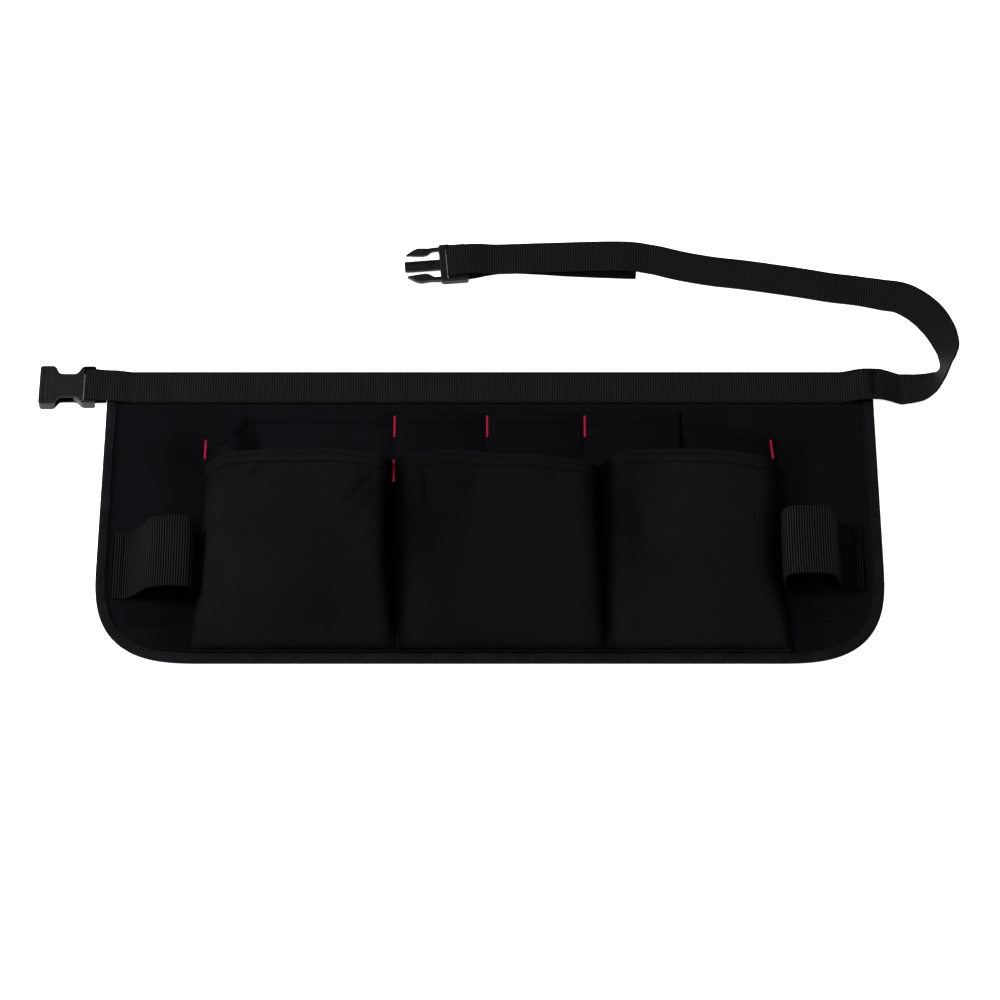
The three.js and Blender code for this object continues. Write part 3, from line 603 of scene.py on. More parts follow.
def cloth_wall(name, grid, thick, finish, cloth, seat=0.0, round_edge=0.4, lit=1.0):
    """A closed wall of cloth from a grid of points, with a rounded raw edge. seat is the share of the
    thickness that lies under the grid, and lit is painted shade: how open each point lies to the light."""
    rows, columns = grid.shape[:2]
    thick = np.broadcast_to(thick, (rows, columns))[..., None]
    normal = unit(np.cross(np.gradient(grid, axis=0), np.gradient(grid, axis=1)))
    upper = grid + normal * thick * (1 - seat)
    lower = grid - normal * thick * seat
    inward = grid.copy()
    inward[0] = grid[1]
    inward[-1] = grid[-2]
    inward[:, 0] += grid[:, 1] - grid[:, 0]
    inward[:, -1] += grid[:, -2] - grid[:, -1]
    edge = border(rows, columns)
    i, j = edge[:, 0], edge[:, 1]
    out = unit(grid[i, j] - inward[i, j])
    rim = (upper[i, j] + lower[i, j]) / 2 + out * thick[i, j] * round_edge
    points = np.concatenate([upper.reshape(-1, 3), lower.reshape(-1, 3), rim])
    flat = np.arange(rows * columns).reshape(rows, columns)
    a, b, c, d = flat[:-1, :-1], flat[1:, :-1], flat[1:, 1:], flat[:-1, 1:]
    top = np.stack([a, b, c, d], -1).reshape(-1, 4)
    under = np.stack([d, c, b, a], -1).reshape(-1, 4) + rows * columns
    ring = flat[i, j]
    ring_low = ring + rows * columns
    ring_mid = np.arange(len(ring)) + 2 * rows * columns
    turn = lambda line: np.roll(line, -1)
    side_high = np.stack([ring, turn(ring), turn(ring_mid), ring_mid], -1)
    side_low = np.stack([ring_mid, turn(ring_mid), turn(ring_low), ring_low], -1)
    faces = np.concatenate([top, under, side_high, side_low]).tolist()
    places = np.concatenate([cloth.reshape(-1, 2), cloth.reshape(-1, 2), cloth[i, j]])
    piece = make_piece(name, points, faces, finish, places)
    lit = np.broadcast_to(lit, (rows, columns))
    # Painted shade: the underside gets 0.6 of the top's lit value.
    shade(piece, np.concatenate([lit.ravel(), lit.ravel() * 0.6, lit[i, j]]))
    return piece


def closed_tube(name, rings, finish, cloth):
    """A tube through closed rings of points, capped at both ends."""
    count, size = rings.shape[:2]
    flat = np.arange(count * size).reshape(count, size)
    turn = np.roll(flat, -1, axis=1)
    faces = np.stack([flat[:-1], turn[:-1], turn[1:], flat[1:]], -1).reshape(-1, 4).tolist()
    faces += [flat[0][::-1].tolist(), flat[-1].tolist()]
    return make_piece(name, rings.reshape(-1, 3), faces, finish, cloth.reshape(-1, 2))


def lengths_along(line):
    steps = np.linalg.norm(np.diff(line, axis=0), axis=1)
    return np.concatenate([[0], np.cumsum(steps)])


def spaced(line, step, *others):
    """A line resampled to even steps, with arrays that go with it."""
    at = lengths_along(line)
    count = max(2, int(round(at[-1] / step)))
    even = np.linspace(0, at[-1], count + 1)
    pick = lambda values: np.stack([np.interp(even, at, values[:, k]) for k in range(values.shape[1])], -1)
    return even, pick(line), *[pick(other) for other in others]


def hermite(p1, p2, t1, t2, u):
    return (p1 + t1 * u + (-3 * p1 + 3 * p2 - 2 * t1 - t2) * u ** 2 + (2 * p1 - 2 * p2 + t1 + t2) * u ** 3)


def spline(points, shares, tension=None):
    """A Catmull-Rom curve through points, centripetal unless a tension is given, read at shares of 0 to 1."""
    points = np.asarray(points, float)
    ends = np.concatenate([[2 * points[0] - points[1]], points, [2 * points[-1] - points[-2]]])
    last = len(points) - 1
    made = []
    for share in shares:
        place = min(share * last, last - 1e-9)
        k = int(place)
        p0, p1, p2, p3 = ends[k:k + 4]
        if tension is None:
            d0, d1, d2 = (max(np.linalg.norm(b - a), 1e-8) ** 0.5 for a, b in ((p0, p1), (p1, p2), (p2, p3)))
            t1 = ((p1 - p0) / d0 - (p2 - p0) / (d0 + d1) + (p2 - p1) / d1) * d1
            t2 = ((p2 - p1) / d1 - (p3 - p1) / (d1 + d2) + (p3 - p2) / d2) * d1
        else:
            t1, t2 = tension * (p2 - p0), tension * (p3 - p1)
        made.append(hermite(p1, p2, t1, t2, place - k))
    return np.array(made)


def drift(values, seed, amount, *waves):
    """A smooth wandering value along a line, from a few waves of seeded phase."""
    random = np.random.default_rng(seed)
    total = np.zeros(np.shape(values))
    for wave in waves:
        total = total + np.sin(np.asarray(values) * math.tau / wave + random.uniform(0, math.tau))
    return amount * total / len(waves)


def rumple(x, y, seed, wave, count=7):
    """Gentle hills and hollows over a cloth, about -1 to 1."""
    random = np.random.default_rng(seed)
    total = 0
    for _ in range(count):
        angle, phase = random.uniform(0, math.tau, 2)
        length = wave * random.uniform(0.6, 1.7)
        total = total + np.sin((x * math.cos(angle) + y * math.sin(angle)) * math.tau / length + phase)
    return total / math.sqrt(count)


# Stitches
BEAD_SIDES = 6
BEAD_ALONG = np.array([-0.5, -0.36, 0, 0.36, 0.5])
BEAD_ROUND = np.array([0.35, 0.85, 1, 0.85, 0.35])


def beads(name, centres, ways, ups, lengths, radius, finish):
    """Short stitches of thread as one mesh: a middle, a direction, an upward side and a length for each."""
    centres, ways, ups = (np.asarray(v, float).reshape(-1, 3) for v in (centres, ways, ups))
    lengths = np.broadcast_to(lengths, len(centres))
    radius = np.broadcast_to(radius, len(centres))
    ways = unit(ways)
    sides = unit(np.cross(ups, ways))
    ups = np.cross(ways, sides)
    turn = np.arange(BEAD_SIDES) / BEAD_SIDES * math.tau
    points, cloth = [], []
    for share, size in zip(BEAD_ALONG, BEAD_ROUND):
        for angle in turn:
            spread = sides * math.cos(angle) + ups * math.sin(angle)
            points.append(centres + ways * (share * lengths)[:, None] + spread * (radius * size)[:, None])
            cloth.append(np.stack([share * lengths, np.full(len(centres), angle / math.tau)], -1))
    points = np.stack(points, 1)
    cloth = np.stack(cloth, 1)
    size = len(BEAD_ALONG) * BEAD_SIDES
    flat = np.arange(size).reshape(len(BEAD_ALONG), BEAD_SIDES)
    turned = np.roll(flat, -1, axis=1)
    quads = np.stack([flat[:-1], turned[:-1], turned[1:], flat[1:]], -1).reshape(-1, 4)
    faces = []
    for k in range(len(centres)):
        faces += (quads + k * size).tolist()
        faces += [(flat[0][::-1] + k * size).tolist(), (flat[-1] + k * size).tolist()]
    return make_piece(name, points.reshape(-1, 3), faces, finish, cloth.reshape(-1, 2))


def sew(name, lines, pitch=3.2, stitch=2.5, radius=0.3, finish=None, sink=0.1):
    """Rows of lock stitches along lines of points, each with the cloth's upward side."""
    centres, ways, ups = [], [], []
    for line, up in lines:
        up = np.broadcast_to(np.asarray(up, float), line.shape)
        even, points, sides = spaced(line, pitch, up)
        middles = (points[1:] + points[:-1]) / 2
        centres.append(middles + unit(sides[1:]) * (radius - sink))
        ways.append(points[1:] - points[:-1])
        ups.append(sides[1:])
    return beads(name, np.concatenate(centres), np.concatenate(ways), np.concatenate(ups), stitch, radius,
                 finish or BLACK_THREAD)


UP = np.array([0.0, 0.0, 1.0])


# The panel and its bound edge
def side_at(y, inset):
    """Half the panel's width at a height, measured to a line inset from its edge."""
    reach = corner_reach - inset
    down = (-y - (half_depth - corner_reach)) / reach
    return half_width - inset - reach * (1 - (1 - np.clip(down, 0, 1) ** corner_power) ** (1 / corner_power))


def bound_edge(inset, step):
    """The bound edge from the upper left corner round to the upper right one, with its inward side."""
    corner = np.linspace(0, math.pi / 2, 60)
    out = np.cos(corner) ** (2 / corner_power)
    down = np.sin(corner) ** (2 / corner_power)
    steep = corner_power - 1
    normal = unit(np.stack([out ** steep, down ** steep], -1))
    x = half_width - corner_reach + out * corner_reach
    y = -(half_depth - corner_reach + down * corner_reach)
    quarter = np.stack([x, y], -1)
    left = quarter * [-1, 1]
    points = np.concatenate([[[-half_width, half_depth]], left, quarter[::-1], [[half_width, half_depth]]])
    inward = np.concatenate([[[1, 0]], np.stack([normal[:, 0], normal[:, 1]], -1),
                             np.stack([-normal[::-1, 0], normal[::-1, 1]], -1), [[-1, 0]]])
    even, line, side = spaced(points, step, inward)
    side = unit(side)
    return even, line + side * inset, side


def panel_height(x, y):
    """The panel's underside: flat, with soft waves where nothing is sewn to it."""
    free = np.clip((np.abs(x) - 214) / 14, 0, 1) * np.clip((250 - np.abs(x)) / 14, 0, 1)
    free = free * np.clip((82 - y) / 12, 0, 1) * np.clip((y + 96) / 14, 0, 1)
    wave = 0.5 + 0.5 * rumple(x, y, 3, 46.0)
    return np.clip(wave, 0, 1) * free * 2.0 * ((y >= -2) | (y <= -76))


def band(value, middle, half, soft):
    """1 within half of the middle, falling to 0 over soft."""
    share = np.clip((np.abs(value - middle) - half) / soft, 0, 1)
    return 1 - share * share * (3 - 2 * share)


def bell(value, middle, wide):
    """1 at the middle, falling away smoothly on both sides."""
    return np.exp(-((value - middle) / wide) ** 2)


def open_to_light(x, y):
    """How open the flat cloth lies to the light, as painted shade: dark between the loops and the pockets,
    under the loops, along the upper wall's top edge and in the stitch rows."""
    left, right = seams(y)
    lit = np.ones(np.broadcast(x, y).shape)
    for name, side, seam in (("left", -1, left), ("right", 1, right)):
        place = LOOPS[name]["place"]
        close = band(side * x, side * seam + 4.0, 4.0, 9.0) * band(y, 2.0 - place, 26.0, 14.0)
        beside = band(side * x, side * seam + 8.0, 8.0, 16.0) * band(y, -26.0, 66.0, 44.0)
        under = band(side * x, side * seam + 22, 20.0, 14.0) * band(y, -place - 30, 12.0, 10.0)
        lit = lit * (1 - 0.86 * close) * (1 - 0.4 * beside) * (1 - 0.25 * under)
    edge = upper_edge_at(x)
    above = np.where(y > edge, np.exp(-((y - edge) / 3.0) ** 2), 0) * band(x, -10, 150, 40)
    lit = lit * (1 - 0.6 * above)
    for row in PANEL_ROWS:
        lit = lit * (1 - 0.8 * band(y, row["y"], 0.25, 0.7) * band(x, (row["from"] + row["to"]) / 2,
                                                                  (row["to"] - row["from"]) / 2, 1.5))
    return lit


def make_panel():
    rows = np.concatenate([np.linspace(half_depth - 0.01, -79, 130), np.linspace(-79.4, -89, 33),
                           np.linspace(-90, -half_depth + rim_low, 30)])
    shares = np.sin(np.linspace(-1, 1, 260) * math.pi / 2 * 0.96) / math.sin(math.pi / 2 * 0.96)
    inset = rim_low
    wide = side_at(rows, inset)[:, None]
    x = shares[None, :] * wide
    y = np.broadcast_to(rows[:, None], x.shape)
    inside = binding_width + gap
    edge = np.minimum(side_at(rows, 0)[:, None] - np.abs(x), y + half_depth)
    lift = rim_low * (1 - np.clip((edge - inside) / rim_slope, 0, 1))
    z = lift + panel_height(x, y)
    thick = rim_cloth + (panel_cloth - rim_cloth) * np.clip((edge - inside) / rim_slope, 0, 1)
    grid = np.stack([x, y, z], -1)
    piece = cloth_wall("panel_canvas", grid, thick, PANEL_CANVAS, np.stack([x, y], -1),
                       lit=open_to_light(x, y))
    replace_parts(piece, "panel")
    return piece


# The binding's section: inset from the edge and height in shares of binding_width and binding_top, round the
# outside of the fold from its lower leg to its upper one, and back inside
FOLD = {
    "inset": [1, 0.55, 0.2, 0.06, 0, 0.02, 0.1, 0.26, 0.46, 0.62, 0.72, 0.8, 0.92, 0.99, 1,
              0.9, 0.5, 0.24, 0.17, 0.16, 0.17, 0.24, 0.5, 0.9],
    "height": [0.01, 0, 0.01, 0.12, 0.35, 0.65, 0.9, 1, 1.01, 0.98, 0.9, 0.97, 0.97, 0.9, 0.8,
               0.75, 0.75, 0.72, 0.62, 0.5, 0.38, 0.27, 0.25, 0.25],
}
STITCH_INSET = 0.72


def make_binding():
    even, line, side = bound_edge(0, 1.3)
    inset = np.array(FOLD["inset"])
    height = np.array(FOLD["height"])
    wobble = 1 + drift(even, 11, 0.05, 37.0, 61.0, 23.0)[:, None]
    corner = np.clip(1 - np.abs(np.abs(line[:, 0]) - 246) / 34, 0, 1) * (line[:, 1] < -50)
    pucker = drift(even, 12, 0.16, 3.9, 5.2, 7.7) * (0.5 + 1.6 * corner)
    deep = inset[None, :] * binding_width
    shift = np.where(inset > 0.3, wobble, 1)
    place = line[:, None, :] + side[:, None, :] * (deep * shift)[..., None]
    top = np.clip((height - 0.6) / 0.3, 0, 1)[None, :] * np.clip(inset / 0.2, 0, 1)[None, :]
    z = height[None, :] * binding_top + pucker[:, None] * top
    rings = np.concatenate([place, z[..., None]], -1)[:, ::-1]
    round_fold = lengths_along(np.stack([inset * binding_width, height * binding_top], -1))
    cloth = np.stack(np.broadcast_arrays(even[:, None], round_fold[None, :]), -1)[:, ::-1]
    piece = closed_tube("edge_binding_tape", rings, TAPE, cloth)
    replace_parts(piece, "edge_binding")
    even, line, side = bound_edge(binding_width * STITCH_INSET, 2.0)
    seat = np.concatenate([line, np.full((len(line), 1), 0.92 * binding_top)], -1)
    keep = seat[:, 1] < belt_centre - belt_width / 2 - 1
    row = seat[keep]
    stitches = sew("binding_stitches", [(row, UP)], pitch=3.0, stitch=2.3, radius=0.28)
    return piece, stitches


# Webbing
RIBBON_ACROSS = np.array([-0.5, -0.49, -0.465, -0.4, -0.25, -0.08, 0.08, 0.25, 0.4, 0.465, 0.49, 0.5])
RIBBON_FULL = np.array([0.45, 0.72, 0.95, 1, 0.97, 0.97, 0.97, 0.97, 1, 0.95, 0.72, 0.45])


def ribs(along, pitch=rib_pitch):
    """The height of the ribs at a length along the webbing, 0 in the grooves and 1 on the ribs."""
    return np.abs(np.sin(along * math.pi / pitch)) ** 0.8


def ribbon(name, centres, across, width, thickness, finish, node, tail=0.0):
    """Ribbed webbing along a line of centres, with thinner selvedges. A tail's length at the end gets
    painted shade, where the strap lies over it.
    """
    even, line, way = spaced(centres, rib_pitch / rib_steps, across)
    way = unit(way)
    grid = line[:, None, :] + way[:, None, :] * (RIBBON_ACROSS * width)[None, :, None]
    lit = (1 - 0.75 * np.clip((even - even[-1] + tail) / 6, 0, 1) * (tail > 0))[:, None]
    relief = (1 - ribs(even)) * rib_depth * 2
    thick = thickness * RIBBON_FULL[None, :] - relief[:, None] * (np.abs(RIBBON_ACROSS) < 0.48)[None, :]
    cloth = np.stack(np.broadcast_arrays(even[:, None], RIBBON_ACROSS[None, :] * width), -1)
    normal = np.cross(np.gradient(grid, axis=0), np.gradient(grid, axis=1))
    if normal[len(normal) // 2, 0, 2] < 0:
        grid, thick, cloth = grid[:, ::-1], thick[:, ::-1], cloth[:, ::-1]
    piece = cloth_wall(name, grid, thick, finish, cloth, seat=0.5, lit=lit)
    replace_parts(piece, node)
    return piece


def round_bar(x, low, high, y, steps=16):
    """Half a turn of webbing round a bar, from below it to above it, on its left."""
    radius = (high - low) / 2
    angles = -math.pi / 2 - np.linspace(0, 1, steps + 1) * math.pi
    return [np.array([x + radius * math.cos(a), y, (low + high) / 2 + radius * math.sin(a)]) for a in angles]


socket_bar = {
    "x": -half_width - 8.0 - bar_length,
    "low": (buckle_thick - bar_thick) / 2,
    "high": (buckle_thick + bar_thick) / 2,
}
plug_bar = {"x": half_width + gap - free_run, "low": webbing + gap, "high": webbing + gap + bar_thick}


def soften(points, step=0.5, reach=3.0):
    """A polyline resampled and rounded at its bends over a reach."""
    _, line = spaced(np.asarray(points), step)
    width = int(reach / step)
    kernel = np.hanning(2 * width + 1)
    kernel /= kernel.sum()
    padded = np.concatenate([np.linspace(2 * line[0] - line[width], line[0], width, endpoint=False), line,
                             np.linspace(line[-1], 2 * line[-1] - line[-1 - width], width + 1)[1:]])
    return np.stack([np.convolve(padded[:, k], kernel, "valid") for k in range(3)], -1)


def make_belt():
    reach = webbing / 2 + gap
    y = belt_centre
    low, high = socket_bar["low"] - reach, socket_bar["high"] + reach
    side = half_width
    under = [np.array([-side - 0.6, y, belt_over / 2]), np.array([socket_bar["x"] + bar_length, y, low])]
    turn = round_bar(socket_bar["x"] + bar_inset, low, high, y)
    over = [
        (socket_bar["x"] + bar_length, high),
        (-side - gap, belt_over + gap), (-side + binding_width, belt_over),
        (-side + binding_width + belt_ramp, belt_flat),
        (side - binding_width - belt_ramp * 1.5, belt_flat),
        (side - binding_width - belt_ramp / 2, belt_over + belt_hump / 2),
        (side - binding_width, belt_over + belt_hump), (side - gap, belt_over + belt_hump),
    ]
    over = soften([turn[-1]] + [np.array([x, y, z]) for x, z in over], 0.5, 2.5)
    over[:, 2] = np.maximum(over[:, 2], belt_flat)
    under = soften(under + [turn[0]], 0.5, 2.0)
    line = np.concatenate([under, turn[1:-1], over])
    across = np.broadcast_to([0.0, 1.0, 0.0], line.shape)
    piece = ribbon("belt_webbing", line, across, belt_width, webbing, WEBBING, "waist_belt")
    rows = []
    for share in (-0.44, 0.44):
        flat = over[(over[:, 0] > -side + 12) & (over[:, 0] < side - 1)]
        rows.append((flat + [0, share * belt_width, webbing / 2 - 0.02], UP))
    sew("belt_stitches", rows, pitch=3.1, stitch=2.4, radius=0.27)
    return piece


def facing(degrees, bank):
    plan, up = np.radians(degrees), np.radians(bank)
    return np.stack([np.cos(plan) * np.cos(up), np.sin(plan) * np.cos(up), np.sin(up)], -1)


def strap_stations():
    """The strap's centres and edge directions, as the frame's solid has them."""
    side = half_width
    y = belt_centre + strap_rise
    turn = {key: np.array(value, float) for key, value in STRAP_TURN.items()}
    centres = [np.array([side + o * turn_reach, belt_centre + r * strap_rise, l * (belt_over + belt_hump)])
               for o, r, l in zip(turn["out"], turn["rise"], turn["lift"])]
    across = list(facing(turn["facing"], turn["bank"]))
    for back, rise, face in zip(*STRAP_BACK.values()):
        centres.append(np.array([side - back * free_run, belt_centre + rise * strap_rise, strap_flat]))
        across.append(facing(face, 0))
    bar_top = plug_bar["high"] + gap + webbing / 2
    tail_end = plug_bar["x"] + tail_length
    fold = plug_drop - plug_play
    reach = plug_bar["x"] + frame_length
    last = [
        (tail_end + belt_ramp, y + strap_arch / 2, strap_flat, 84),
        (tail_end - belt_ramp / 2, y + strap_arch, strap_over, 88),
        ((tail_end + plug_bar["x"]) / 2, y + strap_arch / 2, strap_over, 90),
        (reach + belt_ramp * 2, y, strap_over, 90),
        (reach + belt_ramp, y - fold * 0.1, (strap_over + bar_top) / 2, 91),
        (reach + 2, y - fold * 0.35, bar_top, 93),
        (plug_bar["x"] + frame_length / 2, y - fold * 0.65, bar_top, 90 + plug_turn),
        (plug_bar["x"] + bar_inset + 1, y - fold, bar_top, 90 + plug_turn),
    ]
    for x, place, z, face in last:
        centres.append(np.array([x, place, z]))
        across.append(facing(face, 0))
    shares = np.linspace(0, 1, 900)
    line = spline(centres, shares)
    ways = unit(spline(across, shares, 0.4))
    lowest = belt_width / 2 * np.abs(ways[:, 2]) + strap_flat * np.sqrt(1 - ways[:, 2] ** 2)
    line[:, 2] = np.maximum(line[:, 2], lowest)
    turned = round_bar(plug_bar["x"] + bar_inset, strap_flat, bar_top, y - fold)[::-1]
    tail = [np.array([plug_bar["x"] + a * tail_length, y - d * tail_shift, strap_flat])
            for a, d in zip(*STRAP_TAIL.values())]
    lean = [facing(90 + plug_turn * max(0, 1 - a * 5) - tail_lean * a, 0) for a in STRAP_TAIL["along"]]
    line = np.concatenate([line, turned, tail])
    ways = np.concatenate([ways, np.broadcast_to(facing(90 + plug_turn, 0), (len(turned), 3)), lean])
    return line, ways


def make_strap():
    line, ways = strap_stations()
    piece = ribbon("strap_webbing", line, ways, belt_width, webbing, WEBBING, "free_strap", tail_length - 8)
    return piece


def satin(name, corner, across, along, up, count, width, radius=0.28, finish=None, slant=0.5):
    """A bartack: threads laid side by side across a line, each leaning to the next."""
    shares = (np.arange(count) + 0.5) / count
    centres = corner + np.outer(shares, along)
    sign = np.where(np.arange(count) % 2 == 0, 1.0, -1.0)[:, None]
    ways = unit(np.asarray(across))[None, :] * width + sign * unit(np.asarray(along))[None, :] * slant
    lengths = width * (1 + 0.12 * np.sin(np.arange(count) * 2.4))
    lift = np.where(np.arange(count) % 2 == 0, 0.0, 0.12)[:, None] * np.asarray(up)[None, :]
    return beads(name, centres + lift, ways, np.broadcast_to(up, centres.shape), lengths, radius,
                 finish or RED_THREAD)


def make_belt_tack():
    """The black bartack where the belt leaves the panel."""
    top = belt_over + belt_hump + webbing / 2
    centre = np.array([half_width - 1.2, belt_centre - belt_width * 0.36, top + 0.15])
    along = [0, belt_width * 0.82, 0]
    return satin("belt_end_tack", centre, [1, 0, 0], along, UP, 34, 4.4, 0.3, BLACK_THREAD)


# The upper pocket wall
def smooth_table(at, places, values, blur=0.05):
    """A table read with its corners rounded off."""
    steps = np.linspace(-1, 1, 9)
    weights = 1 - np.abs(steps) * 0.9
    total = sum(w * np.interp(at + s * blur, places, values) for s, w in zip(steps, weights))
    return total / np.sum(weights)


def seams(y):
    down = (lower_top - y) / pocket_depth
    left = -seam_left - seam_flare * smooth_table(down, SEAM["down"], SEAM["left"])
    right = seam_right + seam_flare * smooth_table(down, SEAM["down"], SEAM["right"])
    return left, right


upper_half = (seam_left + seam_right) / 2


def upper_edge_at(x):
    """The height of the upper wall's top edge."""
    drop = smooth_table(x / upper_half, UPPER_EDGE["across"], UPPER_EDGE["drop"], 0.03)
    return upper_top - drop * upper_depth


pleat_left_x = -pleat_left * upper_half
pleat_right_x = pleat_right * upper_half


def pleats(x):
    """The steps of the two pleats, as the solid has them."""
    total = 0
    for place, side in ((pleat_left_x, 1), (pleat_right_x, -1)):
        away = side * (x - place) / pleat_width
        total = total + pleat_step * np.where(away > 0, np.exp(-away / 2), np.clip(1 + away, 0, None))
    return total


def crown(x, y):
    """How far the upper wall stands off the panel."""
    left, right = seams(y)
    lines = [left + flange, -divider_left, -divider_middle, divider_upper_right, right - flange]
    rise = np.zeros(np.broadcast(x, y).shape)
    for start, end in zip(lines, lines[1:]):
        share = np.clip((x - start - seam_land) / (end - start - 2 * seam_land), 0, 1)
        bulge = upper_crown * np.sin(share * math.pi) ** crown_power + pleats(x)
        rise = np.where((x > start) & (x < end), bulge, rise)
    return rise * np.clip((y - pocket_bottom) / upper_depth, 0, 1)


def upper_face(x, y):
    return upper_foot + crown(x, y) + pocket_cloth


def upper_detail(x, y):
    """Folds that the solid leaves out: the valleys beside the pleats, and a slack mouth."""
    fade = np.clip((y - pocket_bottom) / upper_depth, 0, 1)
    near_top = np.clip((y - 20) / 30, 0, 1)
    down = np.clip((upper_top - y) / 40, 0, 1)
    left_away = (pleat_left_x - x) / (5 + 9 * down)
    left = np.where(left_away > 0, np.exp(-left_away ** 2), 0) * np.clip(left_away * 8, 0, 1)
    right_away = (x - pleat_right_x) / (2.5 + 2 * down)
    right = np.where(right_away > 0, np.exp(-right_away ** 2), 0) * np.clip(right_away * 4, 0, 1)
    base = crown(x, y)
    sunk = -0.72 * base * (left + right)
    soft = rumple(x, y, 5, 38.0) * 0.35 * np.clip(base / 3, 0, 1) * near_top
    corner = np.exp(-((x + 188) / 13) ** 2 - ((y - 66) / 11) ** 2)
    creased = 1.5 * corner * np.sin((x * 0.5 + y) * math.tau / 9.0) * np.clip(base / 2, 0, 1)
    return (sunk + soft + creased) * fade * near_top


def mouth_at(x):
    """The height of the lower pockets' mouths along the apron."""
    mouth = np.full(np.shape(x), -1e3)
    for name in MOUTH_EDGE:
        if name == "across":
            continue
        start, end = pocket_edges(name, np.full(np.shape(x), lower_top))
        share = (x - start) / (end - start)
        drop = np.interp(share, MOUTH_EDGE["across"], MOUTH_EDGE[name]) * pocket_depth
        mouth = np.where((share > 0) & (share < 1), lower_top - drop, mouth)
    return mouth


def upper_shade(x, y, depth):
    """The upper wall's painted shade: behind the lower mouths, in both pleats, in the stitched groove and
    under the valleys."""
    above = y - mouth_at(x)
    behind = np.where(above > 0, np.exp(-(above / 2.6) ** 2), 0) * 0.5
    deep = np.where(above > 0, np.exp(-(above / 6) ** 2), 0) * band(x, -176, 9, 8) * 0.6
    down = np.clip((upper_top - y) / 38, 0, 1)
    left = band(x, -173.5 + 3.5 * down, 1.5 + 6.5 * down, 5.0) * (0.35 + 0.35 * down) * (y > 20)
    right = band(x, pleat_right_x + 3.0, 1.2, 2.6) * band(y, 50, 9, 4) * 0.6
    groove = bell(depth, UPPER_ROW, 0.6) * 0.5
    valley = 0
    for name in VALLEYS:
        start, end = valley_sides(name, y, 0.0)
        valley = valley + band(x, (start + end) / 2, 4.0, 3.0) * (y < lower_top - 4)
    return (1 - behind) * (1 - deep) * (1 - left) * (1 - right) * (1 - groove) * (1 - np.clip(valley, 0, 0.9))


def make_upper_wall():
    x_shares = []
    lines = [-seam_left, -seam_left + flange, pleat_left_x, -divider_left, -divider_middle,
             divider_upper_right, pleat_right_x, seam_right - flange, seam_right]
    for start, end in zip(lines, lines[1:]):
        count = max(3, int((end - start) / 2.2))
        even = np.linspace(0, 1, count, endpoint=False)
        x_shares.append(start + (end - start) * (1 - np.cos(even * math.pi)) / 2)
    x = np.concatenate(x_shares + [[seam_right]])
    drop = upper_top - upper_edge_at(x)
    hem = np.array([0, 0.8, 2.0, 4.5, 7.0, 8.2, 8.8, 9.3, 10.2])
    below = np.linspace(0, 1, 64)[:, None]
    y_hem = upper_top - drop[None, :] - hem[:, None]
    y_start = upper_top - drop[None, :] - 11.5
    y_low = y_start + (pocket_bottom - y_start) * below ** 1.15
    y = np.concatenate([y_hem, y_low])
    left, right = seams(y)
    spread = left + (x[None, :] + seam_left) / (seam_right + seam_left) * (right - left)
    held = (x[None, :] > -seam_left + flange) & (x[None, :] < seam_right - flange)
    place = np.where(held, x[None, :], spread)
    z = upper_foot + crown(place, y) + upper_detail(place, y)
    depth = upper_top - drop[None, :] - y
    hem_share = np.clip((upper_hem - depth) / 0.6, 0, 1)
    lip = bell(depth, 1.0, 1.2)
    groove = bell(depth, UPPER_ROW, 0.5)
    thick = pocket_cloth + 0.6 * hem_share + 0.25 * lip - 0.35 * groove
    grid = np.stack([place, y, np.maximum(z, upper_foot)], -1)
    # Painted shade from open_to_light and upper_shade; the last factor makes the wall darker from its middle
    # to its right side.
    lit = open_to_light(place, y) * upper_shade(place, y, depth) * (1 - 0.22 * band(place, 76.0, 135.0, 30.0))
    piece = cloth_wall("upper_pocket_canvas", grid, thick, PANEL_CANVAS, np.stack([place, y], -1), lit=lit)
    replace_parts(piece, "upper_pocket")
    top = grid[len(hem) - 3] + UP * thick[len(hem) - 3][:, None]
    sew("upper_hem_stitches", [(top[3:-3], UP)], pitch=3.0, stitch=2.3, radius=0.26)
    return piece


# The lower pockets
def shoulder(distance):
    left = 1 - np.clip(distance, 0, 1)
    return (1 - left ** shoulder_power) ** (1 / shoulder_power)


def valley_sides(name, y, out):
    """Both sides of a valley, or with out the sewn edges beside its seam."""
    facts = VALLEYS[name]
    down = (lower_top - y) / pocket_depth
    middle = facts["middle"] + smooth_table(down, facts["down"], facts["drift"])
    half = gap / 2 if out else smooth_table(down, facts["down"], facts["half"])
    return middle - half, middle + half


def pocket_edges(name, y, out=0.0):
    """Where a lower pocket's walls stand, left and right, or with out the edges of its sewn strips."""
    left, right = seams(y)
    if name == "left":
        return left + flange - out, valley_sides("left", y, out)[0]
    if name == "middle":
        return valley_sides("left", y, out)[1], valley_sides("right", y, out)[0]
    return valley_sides("right", y, out)[1], right - flange + out


def crease_depth(name, x, y, width):
    """The soft creases of a pocket, in millimetres towards the panel."""
    total = 0
    scale = np.array([width, -pocket_depth])
    for crease in CREASES[name]:
        start = np.array(crease["from"]) * scale
        end = np.array(crease["to"]) * scale
        way = end - start
        share = np.clip(((x - start[0]) * way[0] + (y - start[1]) * way[1]) / (way @ way), 0, 1)
        away = np.hypot(x - start[0] - share * way[0], y - start[1] - share * way[1])
        taper = np.sin(np.clip(share, 0.04, 0.96) * math.pi) ** 0.5
        total = total + crease["deep"] * taper * np.exp(-(away / crease["wide"]) ** 2)
    return total


